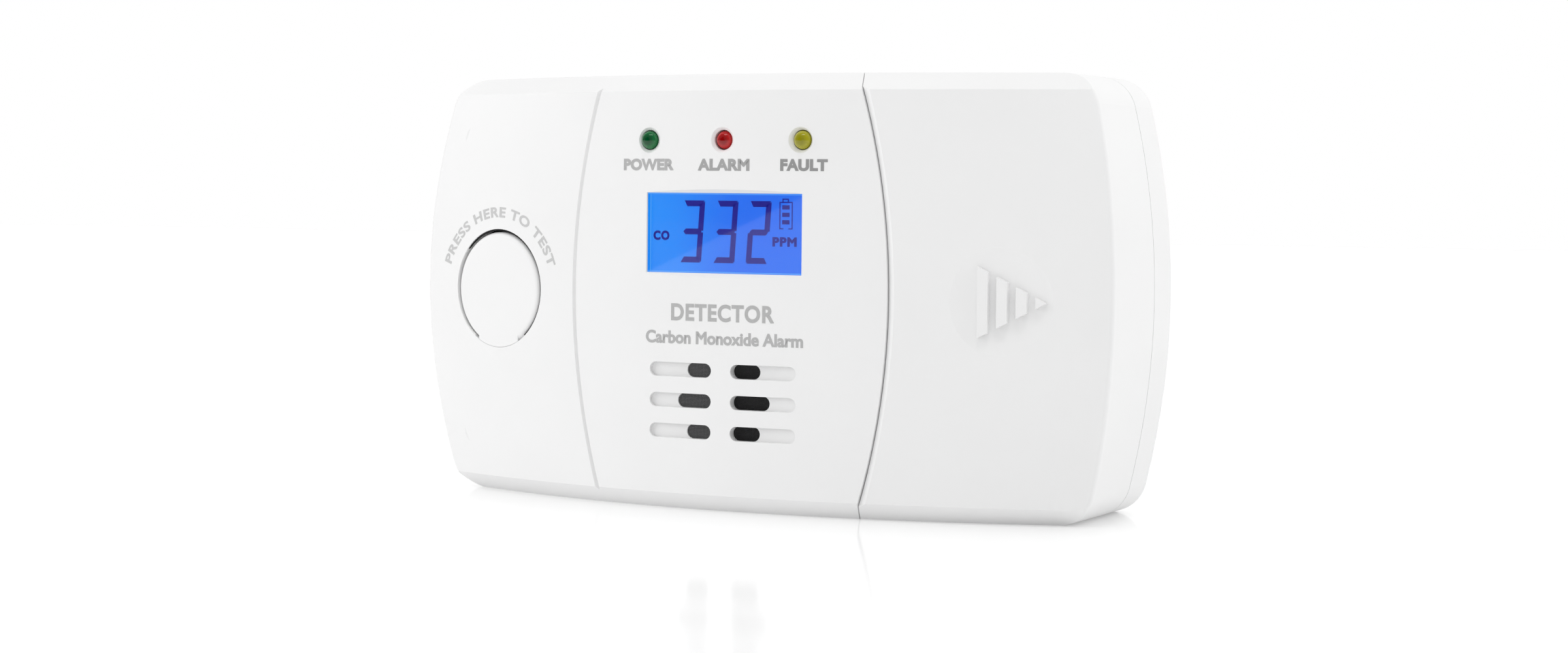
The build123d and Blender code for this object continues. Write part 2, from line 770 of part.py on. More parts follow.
with BuildPart() as cell_link:
    with BuildSketch(Plane.XY.offset(mid_z - tray_inner_half)):
        with Locations((sum(cell_x) / 2, cell_y)):
            RectangleRounded(cell_x[1] - cell_x[0] + 11.0, 9.0, 1.5)
    extrude(amount=contact_thickness)
finish(cell_link, "cell_link")

# ---------------------------------------------------------------- rear cover
head_seat = casing_depth - 5.5
boss_front = parting_depth
# Lip inside the seam with the front shells.
with BuildPart() as rear_lip:
    add(casing_form(wall / 2))
    with BuildSketch(facing(parting_y)):
        Rectangle(far, far)
    extrude(amount=far, mode=Mode.SUBTRACT)
    add(lip_outer)
    add(lip_inner, mode=Mode.SUBTRACT)
    with BuildSketch(facing(rear_lip_y)):
        Rectangle(far, far)
    extrude(amount=far, mode=Mode.SUBTRACT)
    with BuildSketch(facing(back_y + 1)):
        Rectangle(far, far)
    extrude(amount=back_y + 1 - parting_y - lip_height, mode=Mode.SUBTRACT)
with BuildPart() as rear_cover:
    add(outer_form)
    add(inner_form, mode=Mode.SUBTRACT)
    with BuildSketch(facing(parting_y)):
        Rectangle(far, far)
    extrude(amount=far, mode=Mode.SUBTRACT)
    add(rear_lip.part)
    for x, z in case_screw_places:
        rod(x, z, 3.2, boss_front, casing_depth - 1)
    for x, z in tray_screw_places:
        rod(x, z, 2.6, tray_back, casing_depth - 1)
    with BuildSketch(facing(back_y + 1)):
        with Locations(*case_screw_places):
            Circle(1.4)
    extrude(amount=12, mode=Mode.SUBTRACT)
    with BuildSketch(facing(back_y + 1)):
        with Locations(*case_screw_places):
            Circle(2.6)
    extrude(amount=casing_depth + 1 - head_seat, mode=Mode.SUBTRACT)
    with BuildSketch(facing(tray_back_y + 7)):
        with Locations(*tray_screw_places):
            Circle(1.05)
    extrude(amount=8, mode=Mode.SUBTRACT)
    # keyholes: the round entry, then the slot up from it
    with BuildSketch(facing(back_y + 1)):
        with Locations((-keyhole_spacing / 2, keyhole_z), (keyhole_spacing / 2, keyhole_z)):
            Circle(keyhole_radius)
            with Locations((0, keyhole_rise / 2)):
                SlotCenterToCenter(keyhole_rise, keyhole_slot, rotation=90)
    extrude(amount=wall + 2, mode=Mode.SUBTRACT)
    # air slots behind the gas sensor
    with BuildSketch(facing(back_y + 1)):
        with Locations((sensor_x, sensor_z)):
            with GridLocations(0, 4.0, 1, 5):
                SlotOverall(16.0, 1.8)
    extrude(amount=wall + 2, mode=Mode.SUBTRACT)
    # recess for the label
    with BuildSketch(facing(back_y + 1)):
        with Locations((label_x, label_z)):
            RectangleRounded(label_width + 0.4, label_height + 0.4, 1.7)
    extrude(amount=1.2, mode=Mode.SUBTRACT)
finish(rear_cover, "rear_cover")

with BuildPart() as rear_label:
    with BuildSketch(facing(back_y - 0.05)):
        with Locations((label_x, label_z)):
            RectangleRounded(label_width, label_height, 1.5)
    extrude(amount=0.15)
finish(rear_label, "rear_label")

# ---------------------------------------------------------------- screws


def pan_screw(x, z, seat, head_radius, head_height, shank_radius, length, head_behind):
    """Adds one pan-head screw along Y, its head behind or in front of its seat."""
    side = 1 if head_behind else -1
    head = sorted((seat, seat + side * head_height))
    shank = sorted((seat, seat - side * length))
    rod(x, z, head_radius, *head)
    rod(x, z, shank_radius, *shank)
    crown = front_y + seat + side * head_height
    with BuildSketch(facing(crown)) as cross:
        with Locations((x, z)):
            Rectangle(head_radius * 1.1, head_radius * 0.3)
            Rectangle(head_radius * 0.3, head_radius * 1.1)
    extrude(cross.sketch, amount=side * head_height * 0.6, mode=Mode.SUBTRACT)


with BuildPart() as case_screws:
    for x, z in case_screw_places:
        pan_screw(x, z, head_seat, 2.3, 1.6, 1.15, 12.0, head_behind=True)
finish(case_screws, "case_screws")

with BuildPart() as board_screws:
    for x, z in board_screw_places:
        pan_screw(x, z, board_rear, 2.0, 1.3, 0.85, 6.0, head_behind=True)
finish(board_screws, "board_screws")

with BuildPart() as tray_screws:
    for x, z in tray_screw_places:
        pan_screw(x, z, tray_back - 1.5, 2.1, 1.3, 1.0, 7.0, head_behind=False)
finish(tray_screws, "tray_screws")
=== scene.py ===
"""Looks of a battery carbon monoxide alarm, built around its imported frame."""

import json
import logging
import math
from dataclasses import dataclass, field
from enum import Enum

import bmesh
import bpy
from mathutils import Matrix, Vector
from mathutils.bvhtree import BVHTree

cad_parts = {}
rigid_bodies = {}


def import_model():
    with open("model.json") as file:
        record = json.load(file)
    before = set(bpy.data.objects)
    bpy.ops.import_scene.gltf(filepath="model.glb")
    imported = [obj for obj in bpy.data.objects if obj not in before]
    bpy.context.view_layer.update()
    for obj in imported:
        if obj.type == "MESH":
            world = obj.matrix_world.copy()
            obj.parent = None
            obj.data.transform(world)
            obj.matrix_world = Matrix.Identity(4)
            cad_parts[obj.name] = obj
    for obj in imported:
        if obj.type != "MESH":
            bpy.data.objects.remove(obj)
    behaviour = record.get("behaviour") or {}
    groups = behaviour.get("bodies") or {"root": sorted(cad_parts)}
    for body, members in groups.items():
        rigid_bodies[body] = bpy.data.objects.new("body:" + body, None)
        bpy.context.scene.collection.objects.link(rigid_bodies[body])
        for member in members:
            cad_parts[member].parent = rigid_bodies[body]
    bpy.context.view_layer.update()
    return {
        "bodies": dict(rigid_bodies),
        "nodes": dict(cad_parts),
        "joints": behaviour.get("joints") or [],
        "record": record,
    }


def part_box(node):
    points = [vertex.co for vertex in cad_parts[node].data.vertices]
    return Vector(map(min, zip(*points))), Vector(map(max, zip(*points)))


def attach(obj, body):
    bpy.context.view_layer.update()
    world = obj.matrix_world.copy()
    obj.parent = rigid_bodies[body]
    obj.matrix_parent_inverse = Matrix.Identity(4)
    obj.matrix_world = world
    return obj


LOG = logging.getLogger("alarm")
MM = 0.001
BUTTON_MIDDLE = Vector((-45.4, 0.0, 34.7)) * MM
GRILLE_MIDDLE = Vector((0.0, 0.0, 17.7)) * MM
WORD_FILM = 0.02 * MM  # thickness of the words in the display


# ---------------------------------------------------------------- small tools


def linear(code: str, alpha: float = 1.0) -> tuple[float, float, float, float]:
    """Turns an sRGB hex colour into linear light.

    Args:
        code: Colour such as "#f2f2f0".
        alpha: Opacity of the result.

    Returns:
        Linear red, green, blue and alpha.
    """
    parts = [int(code[i : i + 2], 16) / 255 for i in (1, 3, 5)]
    light = [p / 12.92 if p <= 0.04045 else ((p + 0.055) / 1.055) ** 2.4 for p in parts]
    return (light[0], light[1], light[2], alpha)


def add_node(
    tree: bpy.types.NodeTree, kind: str, settings: dict | None = None, inputs: dict | None = None
) -> bpy.types.Node:
    """Adds one node to a tree with its settings, values and links.

    Args:
        tree: Tree that gets the node.
        kind: Blender's name for the node type.
        settings: Attributes of the node itself.
        inputs: Socket name or number to a value, or to the output socket that feeds it.

    Returns:
        The new node.
    """
    node = tree.nodes.new(kind)
    for name, value in (settings or {}).items():
        setattr(node, name, value)
    for name, value in (inputs or {}).items():
        if isinstance(value, bpy.types.NodeSocket):
            tree.links.new(value, node.inputs[name])
        else:
            node.inputs[name].default_value = value
    return node


def new_material(name: str) -> tuple[bpy.types.Material, bpy.types.NodeTree, bpy.types.Node]:
    """Makes a node material.

    Args:
        name: Name of the material.

    Returns:
        The material, its node tree and its shader node.
    """
    material = bpy.data.materials.new(name)
    material.use_nodes = True
    return material, material.node_tree, material.node_tree.nodes["Principled BSDF"]


def mesh_object(
    name: str, bm: bmesh.types.BMesh, material: bpy.types.Material, smooth: bool = False
) -> bpy.types.Object:
    """Makes an object from a bmesh whose points already stand in the object's place.

    Args:
        name: Name of the piece.
        bm: Its mesh, which is freed.
        material: Its finish.
        smooth: Whether its faces shade smoothly below the auto-smooth angle.

    Returns:
        The new object, linked to the scene.
    """
    mesh = bpy.data.meshes.new(name)
    bm.to_mesh(mesh)
    bm.free()
    if smooth:
        mesh.shade_smooth()
        mesh.set_sharp_from_angle(angle=math.radians(35))
    mesh.materials.append(material)
    piece = bpy.data.objects.new(name, mesh)
    bpy.context.scene.collection.objects.link(piece)
    return piece


def on_housing(piece: bpy.types.Object) -> None:
    """Makes a piece ride on the housing.

    Args:
        piece: The new piece.
    """
    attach(piece, "housing")


def block(bm: bmesh.types.BMesh, low: Vector, high: Vector) -> dict:
    """Adds a box between two corners to a bmesh.

    Args:
        bm: Mesh that gets the box.
        low: Lowest corner.
        high: Highest corner.

    Returns:
        What the operator made.
    """
    place = Matrix.Translation((low + high) / 2) @ Matrix.Diagonal((*(high - low), 1))
    return bmesh.ops.create_cube(bm, size=1.0, matrix=place)


def disc(bm: bmesh.types.BMesh, centre: Vector, radius: float, depth: float, sides: int = 48) -> None:
    """Adds a short round bar along Y to a bmesh.

    Args:
        bm: Mesh that gets the bar.
        centre: Middle of the bar.
        radius: Its radius.
        depth: Its length along Y.
        sides: Number of sides.
    """
    turn = Matrix.Translation(centre) @ Matrix.Rotation(math.pi / 2, 4, "X")
    bmesh.ops.create_cone(
        bm, cap_ends=True, segments=sides, radius1=radius, radius2=radius, depth=depth, matrix=turn
    )


def flat_face(bm: bmesh.types.BMesh, outline: list[Vector]) -> list[bmesh.types.BMFace]:
    """Adds one flat convex face to a bmesh.

    Args:
        bm: Mesh that gets the face.
        outline: Its corners.

    Returns:
        The new face, as a list for the next operator.
    """
    corners = [vert for point in outline for vert in bmesh.ops.create_vert(bm, co=point)["vert"]]
    made = bmesh.ops.contextual_create(bm, geom=corners)
    return made["faces"]


def fit_between(bm: bmesh.types.BMesh, box: tuple[float, float, float, float]) -> None:
    """Stretches flat lettering between the sides of a box.

    Args:
        bm: Lettering in the XY plane, changed in place.
        box: Left, right, low and high edge.
    """
    xs = [v.co.x for v in bm.verts]
    ys = [v.co.y for v in bm.verts]
    first, last, foot, head = min(xs), max(xs), min(ys), max(ys)
    left, right, low, high = box
    for vert in bm.verts:
        vert.co.x = left + (vert.co.x - first) / (last - first) * (right - left)
        vert.co.y = low + (vert.co.y - foot) / (head - foot) * (high - low)


def embolden(bm: bmesh.types.BMesh, weight: float) -> None:
    """Moves the outline of flat lettering outwards, with sharp corners held back.

    Args:
        bm: Flat lettering in the XY plane, changed in place.
        weight: How far the outline moves.
    """
    shifts: dict[bmesh.types.BMVert, list[Vector]] = {}
    for edge in bm.edges:
        if len(edge.link_faces) != 1:
            continue
        along = (edge.verts[1].co - edge.verts[0].co).normalized()
        outward = Vector((along.y, -along.x, 0))
        inside = edge.link_faces[0].calc_center_median() - edge.verts[0].co
        if outward.dot(inside) > 0:
            outward.negate()
        for vert in edge.verts:
            shifts.setdefault(vert, []).append(outward)
    for vert, sides in shifts.items():
        mean = sum(sides, Vector()) / len(sides)
        if mean.length > 1e-6:
            vert.co += mean.normalized() * min(weight / mean.length, weight * 1.5)


# ---------------------------------------------------------------- finishes


@dataclass(frozen=True)
class MouldedPlastic:
    """Injection-moulded thermoplastic: near-even colour, a fine spark-eroded grain and a soft gloss.

    Attributes:
        name: Name of the material.
        colour: Body colour.
        roughness: Mean roughness of the skin.
        grain_mm: Size of the mould grain.
        grain_height_mm: Height of the grain.
        depth_mm: How far light scatters inside; 0 for opaque plastics.
    """

    name: str
    colour: str
    roughness: float = 0.3
    grain_mm: float = 0.35
    grain_height_mm: float = 0.004
    depth_mm: float = 0.0

    def build(self) -> bpy.types.Material:
        """Makes the material."""
        material, tree, shader = new_material(self.name)
        place = add_node(tree, "ShaderNodeTexCoord").outputs["Object"]
        flow = add_node(
            tree, "ShaderNodeTexNoise", inputs={"Vector": place, "Scale": 1 / (18 * MM), "Detail": 2.0}
        )
        tone = add_node(
            tree,
            "ShaderNodeMix",
            {"data_type": "RGBA"},
            {"Factor": flow.outputs["Fac"], 6: linear(self.colour), 7: linear(darker(self.colour, 0.985))},
        )
        tree.links.new(tone.outputs[2], shader.inputs["Base Color"])
        gloss = add_node(
            tree,
            "ShaderNodeMapRange",
            inputs={
                "Value": flow.outputs["Fac"],
                "To Min": self.roughness * 0.93,
                "To Max": self.roughness * 1.07,
            },
        )
        tree.links.new(gloss.outputs["Result"], shader.inputs["Roughness"])
        grain = add_node(
            tree,
            "ShaderNodeTexNoise",
            inputs={"Vector": place, "Scale": 1 / (self.grain_mm * MM), "Detail": 3.0, "Roughness": 0.6},
        )
        bump = add_node(
            tree,
            "ShaderNodeBump",
            inputs={"Height": grain.outputs["Fac"], "Distance": self.grain_height_mm * MM, "Strength": 1.0},
        )
        tree.links.new(bump.outputs["Normal"], shader.inputs["Normal"])
        shader.inputs["IOR"].default_value = 1.53
        if self.depth_mm:
            shader.inputs["Subsurface Weight"].default_value = 0.12
            shader.inputs["Subsurface Scale"].default_value = self.depth_mm * MM
            shader.inputs["Subsurface Radius"].default_value = (1.0, 0.9, 0.8)
        return material


def darker(code: str, share: float) -> str:
    """Gives a colour with each channel scaled by a share.

    Args:
        code: sRGB hex colour.
        share: Factor on each channel.

    Returns:
        The new hex colour.
    """
    parts = [min(255, round(int(code[i : i + 2], 16) * share)) for i in (1, 3, 5)]
    return "#{:02x}{:02x}{:02x}".format(*parts)


@dataclass(frozen=True)
class ClearPane:
    """Polished clear acrylic: a water-clear sheet with a sharp reflection.

    Attributes:
        name: Name of the material.
        roughness: Roughness of the polished face.
    """

    name: str = "clear_acrylic_polished"
    roughness: float = 0.02

    def build(self) -> bpy.types.Material:
        """Makes the material."""
        material, tree, shader = new_material(self.name)
        shader.inputs["Base Color"].default_value = linear("#fbfdff")
        shader.inputs["Roughness"].default_value = self.roughness
        shader.inputs["IOR"].default_value = 1.49
        shader.inputs["Transmission Weight"].default_value = 1.0
        place = add_node(tree, "ShaderNodeTexCoord").outputs["Object"]
        wave = add_node(tree, "ShaderNodeTexNoise", inputs={"Vector": place, "Scale": 1 / (9 * MM)})
        bump = add_node(
            tree,
            "ShaderNodeBump",
            inputs={"Height": wave.outputs["Fac"], "Distance": 0.002 * MM, "Strength": 0.3},
        )
        tree.links.new(bump.outputs["Normal"], shader.inputs["Normal"])
        return material


@dataclass(frozen=True)
class TintedEpoxy:
    """Cast tinted epoxy of an indicator: deep colour at the middle, lighter where it thins to the rim.

    Attributes:
        name: Name of the material.
        colour: Tint where it is thin.
        deep: Tint where it is thick.
        box: Lowest and highest corner of the indicator.
    """

    name: str
    colour: str
    deep: str
    box: tuple[Vector, Vector]

    def build(self) -> bpy.types.Material:
        """Makes the material."""
        material, tree, shader = new_material(self.name)
        low, high = self.box
        centre = (low + high) / 2
        place = add_node(tree, "ShaderNodeTexCoord").outputs["Object"]
        shift = add_node(
            tree, "ShaderNodeVectorMath", {"operation": "SUBTRACT"}, {0: place, 1: tuple(centre)}
        )
        across = add_node(
            tree,
            "ShaderNodeVectorMath",
            {"operation": "MULTIPLY"},
            {0: shift.outputs["Vector"], 1: (1.0, 0.0, 1.0)},
        )
        reach = add_node(
            tree, "ShaderNodeVectorMath", {"operation": "LENGTH"}, {0: across.outputs["Vector"]}
        )
        thin = add_node(
            tree,
            "ShaderNodeMapRange",
            {"interpolation_type": "SMOOTHSTEP"},
            {"Value": reach.outputs["Value"], "From Min": 0.5 * MM, "From Max": 1.45 * MM},
        )
        haze = add_node(
            tree, "ShaderNodeTexNoise", inputs={"Vector": place, "Scale": 1 / (0.9 * MM), "Detail": 1.0}
        )
        share = add_node(
            tree,
            "ShaderNodeMath",
            {"operation": "MULTIPLY_ADD", "use_clamp": True},
            {0: haze.outputs["Fac"], 1: 0.25, 2: thin.outputs["Result"]},
        )
        tone = add_node(
            tree,
            "ShaderNodeMix",
            {"data_type": "RGBA"},
            {"Factor": share.outputs["Value"], 6: linear(self.deep), 7: linear(self.colour)},
        )
        tree.links.new(tone.outputs[2], shader.inputs["Base Color"])
        shader.inputs["Roughness"].default_value = 0.05
        shader.inputs["IOR"].default_value = 1.54
        return material


@dataclass(frozen=True)
class WorkedMetal:
    """Drawn, rolled or plated metal with fine working lines.

    Attributes:
        name: Name of the material.
        colour: Colour of the metal.
        roughness: Mean roughness.
        line_mm: Spacing of the working lines.
        stretch: How much longer than wide the lines are, along X, Y and Z.
    """

    name: str
    colour: str
    roughness: float = 0.28
    line_mm: float = 0.12
    stretch: tuple[float, float, float] = (1.0, 1.0, 0.08)

    def build(self) -> bpy.types.Material:
        """Makes the material."""
        material, tree, shader = new_material(self.name)
        shader.inputs["Base Color"].default_value = linear(self.colour)
        shader.inputs["Metallic"].default_value = 1.0
        place = add_node(tree, "ShaderNodeTexCoord").outputs["Object"]
        drawn = add_node(tree, "ShaderNodeMapping", inputs={"Vector": place, "Scale": self.stretch})
        lines = add_node(
            tree,
            "ShaderNodeTexNoise",
            inputs={"Vector": drawn.outputs["Vector"], "Scale": 1 / (self.line_mm * MM), "Detail": 2.0},
        )
        gloss = add_node(
            tree,
            "ShaderNodeMapRange",
            inputs={
                "Value": lines.outputs["Fac"],
                "To Min": self.roughness * 0.7,
                "To Max": self.roughness * 1.35,
            },
        )
        tree.links.new(gloss.outputs["Result"], shader.inputs["Roughness"])
        bump = add_node(
            tree,
            "ShaderNodeBump",
            inputs={"Height": lines.outputs["Fac"], "Distance": 0.002 * MM, "Strength": 0.6},
        )
        tree.links.new(bump.outputs["Normal"], shader.inputs["Normal"])
        return material


@dataclass(frozen=True)
class SolderMask:
    """Green solder mask over copper tracks on glass-epoxy board: tracks show as lighter, raised lines.

    Attributes:
        name: Name of the material.
        mask: Colour over bare laminate.
        track: Colour over copper.
        pitch_mm: Spacing of the tracks.
    """

    name: str = "solder_mask_green_on_laminate"
    mask: str = "#0d5a2b"
    track: str = "#1d7a3f"
    pitch_mm: float = 2.4

    def build(self) -> bpy.types.Material:
        """Makes the material."""
        material, tree, shader = new_material(self.name)
        place = add_node(tree, "ShaderNodeTexCoord").outputs["Object"]
        laid = add_node(tree, "ShaderNodeMapping", inputs={"Vector": place, "Rotation": (math.pi / 2, 0, 0)})
        tracks = add_node(
            tree,
            "ShaderNodeTexBrick",
            {"offset": 0.37},
            {
                "Vector": laid.outputs["Vector"],
                "Scale": 1 / (self.pitch_mm * MM) / 4,
                "Mortar Size": 0.03,
                "Mortar Smooth": 0.2,
                "Color1": linear(self.mask),
                "Color2": linear(darker(self.mask, 0.93)),
                "Mortar": linear(self.track),
            },
        )
        tree.links.new(tracks.outputs["Color"], shader.inputs["Base Color"])
        bump = add_node(
            tree,
            "ShaderNodeBump",
            inputs={"Height": tracks.outputs["Fac"], "Distance": 0.03 * MM, "Strength": 0.8},
        )
        tree.links.new(bump.outputs["Normal"], shader.inputs["Normal"])
        shader.inputs["Roughness"].default_value = 0.32
        return material


@dataclass(frozen=True)
class PrintingInk:
    """Pad-printed ink: a thin, slightly uneven matt film.

    Attributes:
        name: Name of the material.
        colour: Colour of the ink.
        roughness: Roughness of the film.
        glow: Light that comes through it from behind.
    """

    name: str
    colour: str
    roughness: float = 0.45
    glow: float = 0.0

    def build(self) -> bpy.types.Material:
        """Makes the material."""
        material, tree, shader = new_material(self.name)
        place = add_node(tree, "ShaderNodeTexCoord").outputs["Object"]
        film = add_node(
            tree, "ShaderNodeTexNoise", inputs={"Vector": place, "Scale": 1 / (0.25 * MM), "Detail": 3.0}
        )
        tone = add_node(
            tree,
            "ShaderNodeMix",
            {"data_type": "RGBA"},
            {"Factor": film.outputs["Fac"], 6: linear(self.colour), 7: linear(darker(self.colour, 1.1))},
        )
        tree.links.new(tone.outputs[2], shader.inputs["Base Color"])
        shader.inputs["Roughness"].default_value = self.roughness
        if self.glow:
            tree.links.new(tone.outputs[2], shader.inputs["Emission Color"])
            shader.inputs["Emission Strength"].default_value = self.glow
        return material


@dataclass(frozen=True)
class LitDisplay:
    """Blue backlit liquid crystal: even blue light, paler at the left, with a bright hairline near the rim.

    Attributes:
        name: Name of the material.
        centre: Middle of the display in the object's frame.
        half_width: Half its width.
        half_height: Half its height.
        near: Colour at the left.
        away: Colour at the right.
        rim: Colour of the thin line of leaked light along the edges.
        rim_inset: Distance of that line from the edge of the glass.
        rim_width: Width of that line.
        strength: Light given.
    """

    name: str
    centre: Vector
    half_width: float
    half_height: float
    near: str = "#1e94ff"
    away: str = "#1a6cf2"
    rim: str = "#5aa6ff"
    rim_inset: float = 1.35 * MM
    rim_width: float = 0.16 * MM
    strength: float = 1.0

    def build(self) -> bpy.types.Material:
        """Makes the material."""
        material, tree, shader = new_material(self.name)
        place = add_node(tree, "ShaderNodeTexCoord").outputs["Object"]
        shift = add_node(
            tree,
            "ShaderNodeVectorMath",
            {"operation": "SUBTRACT"},
            {0: place, 1: tuple(self.centre)},
        )
        parts = add_node(tree, "ShaderNodeSeparateXYZ", inputs={"Vector": shift.outputs["Vector"]})
        across = add_node(
            tree,
            "ShaderNodeMapRange",
            {"interpolation_type": "SMOOTHSTEP"},
            {
                "Value": parts.outputs["X"],
                "From Min": -self.half_width,
                "From Max": self.half_width * 0.4,
                "To Min": 0.0,
                "To Max": 0.75,
            },
        )
        clouds = add_node(
            tree, "ShaderNodeTexNoise", inputs={"Vector": place, "Scale": 1 / (11 * MM), "Detail": 1.0}
        )
        blend = add_node(
            tree,
            "ShaderNodeMath",
            {"operation": "MULTIPLY_ADD", "use_clamp": True},
            {0: clouds.outputs["Fac"], 1: 0.5, 2: across.outputs["Result"]},
        )
        tone = add_node(
            tree,
            "ShaderNodeMix",
            {"data_type": "RGBA"},
            {"Factor": blend.outputs["Value"], 6: linear(self.near), 7: linear(self.away)},
        )
        edges = []
        for axis, reach in (("X", self.half_width), ("Z", self.half_height)):
            size = add_node(tree, "ShaderNodeMath", {"operation": "ABSOLUTE"}, {0: parts.outputs[axis]})
            inner = reach - self.rim_inset
            edges.append(
                add_node(
                    tree,
                    "ShaderNodeMath",
                    {"operation": "COMPARE"},
                    {0: size.outputs["Value"], 1: inner, 2: self.rim_width / 2},
                )
            )
        rim = add_node(
            tree,
            "ShaderNodeMath",
            {"operation": "MAXIMUM"},
            {0: edges[0].outputs["Value"], 1: edges[1].outputs["Value"]},
        )
        lit = add_node(
            tree,
            "ShaderNodeMix",
            {"data_type": "RGBA"},
            {"Factor": rim.outputs["Value"], 6: tone.outputs[2], 7: linear(self.rim)},
        )
        tree.links.new(lit.outputs[2], shader.inputs["Emission Color"])
        shader.inputs["Base Color"].default_value = linear("#04102a")
        shader.inputs["Emission Strength"].default_value = self.strength
        shader.inputs["Roughness"].default_value = 0.35
        return material


@dataclass(frozen=True)
class WovenCloth:
    """Fine acoustic cloth: dark threads that cross, drawn 0.22 mm apart, coarser than the real ones, to show.

    Attributes:
        name: Name of the material.
        thread: Colour of the threads.
        gap: Colour between the threads.
        pitch_mm: Spacing of the threads.
    """

    name: str = "cloth_polyester_woven"
    thread: str = "#4c4c4e"
    gap: str = "#1c1c1d"
    pitch_mm: float = 0.22

    def build(self) -> bpy.types.Material:
        """Makes the material."""
        material, tree, shader = new_material(self.name)
        place = add_node(tree, "ShaderNodeTexCoord").outputs["Object"]
        heights = []
        for turn in ("X", "Z"):
            wave = add_node(
                tree,
                "ShaderNodeTexWave",
                {"wave_type": "BANDS", "bands_direction": turn},
                {"Vector": place, "Scale": 0.314 / (self.pitch_mm * MM), "Distortion": 0.0},
            )
            heights.append(wave.outputs["Fac"])
        weave = add_node(tree, "ShaderNodeMath", {"operation": "MULTIPLY"}, {0: heights[0], 1: heights[1]})
        tone = add_node(
            tree,
            "ShaderNodeMix",
            {"data_type": "RGBA"},
            {"Factor": weave.outputs["Value"], 6: linear(self.gap), 7: linear(self.thread)},
        )
        tree.links.new(tone.outputs[2], shader.inputs["Base Color"])
        bump = add_node(
            tree,
            "ShaderNodeBump",
            inputs={"Height": weave.outputs["Value"], "Distance": 0.05 * MM, "Strength": 1.0},
        )
        tree.links.new(bump.outputs["Normal"], shader.inputs["Normal"])
        shader.inputs["Roughness"].default_value = 0.85
        return material


@dataclass(frozen=True)
class PrintedLabel:
    """Silver-white printed label: rows of grey dashes in place of small print.

    Attributes:
        name: Name of the material.
        row_mm: Height of a row of print.
    """

    name: str = "label_film_printed"
    row_mm: float = 1.6

    def build(self) -> bpy.types.Material:
        """Makes the material."""
        material, tree, shader = new_material(self.name)
        place = add_node(tree, "ShaderNodeTexCoord").outputs["Object"]
        laid = add_node(tree, "ShaderNodeMapping", inputs={"Vector": place, "Rotation": (math.pi / 2, 0, 0)})
        rows = add_node(
            tree,
            "ShaderNodeTexBrick",
            {"offset": 0.43, "squash": 0.6, "squash_frequency": 3},
            {
                "Vector": laid.outputs["Vector"],
                "Scale": 1 / (self.row_mm * MM) / 4,
                "Mortar Size": 0.075,
                "Mortar Smooth": 0.05,
                "Brick Width": 0.9,
                "Color1": linear("#8d9094"),
                "Color2": linear("#a4a7ab"),
                "Mortar": linear("#e2e4e6"),
            },
        )
        tree.links.new(rows.outputs["Color"], shader.inputs["Base Color"])
        shader.inputs["Roughness"].default_value = 0.38
        return material


class Slot(Enum):
    """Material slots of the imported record."""

    WHITE = "white_abs"
    TRAY = "tray_abs"
    WINDOW = "window_clear"
    LCD = "lcd_glass"
    LIGHT_GUIDE = "light_guide"
    BLACK = "black_abs"
    ZEBRA = "zebra_silicone"
    GREEN = "led_green"
    RED = "led_red"
    YELLOW = "led_yellow"
    TIN = "tinned_steel"
    BOARD = "board_fr4"
    CHIP = "chip_epoxy"
    CERAMIC = "chip_ceramic"
    CAPACITOR = "capacitor_can"
    FERRITE = "ferrite"
    COPPER = "copper_wire"
    SENSOR = "sensor_steel"
    GOLD = "gold_pin"
    FOAM = "foam"
    BRASS = "brass_disc"
    PIEZO = "piezo_white"
    NYLON = "plunger_nylon"
    CELL = "cell_metal"
    SLEEVE = "cell_sleeve"
    SPRING = "spring_nickel"
    SCREW = "screw_zinc"
    LABEL = "label_paper"


Finish = (
    MouldedPlastic | ClearPane | TintedEpoxy | WorkedMetal | SolderMask | LitDisplay | PrintedLabel
)


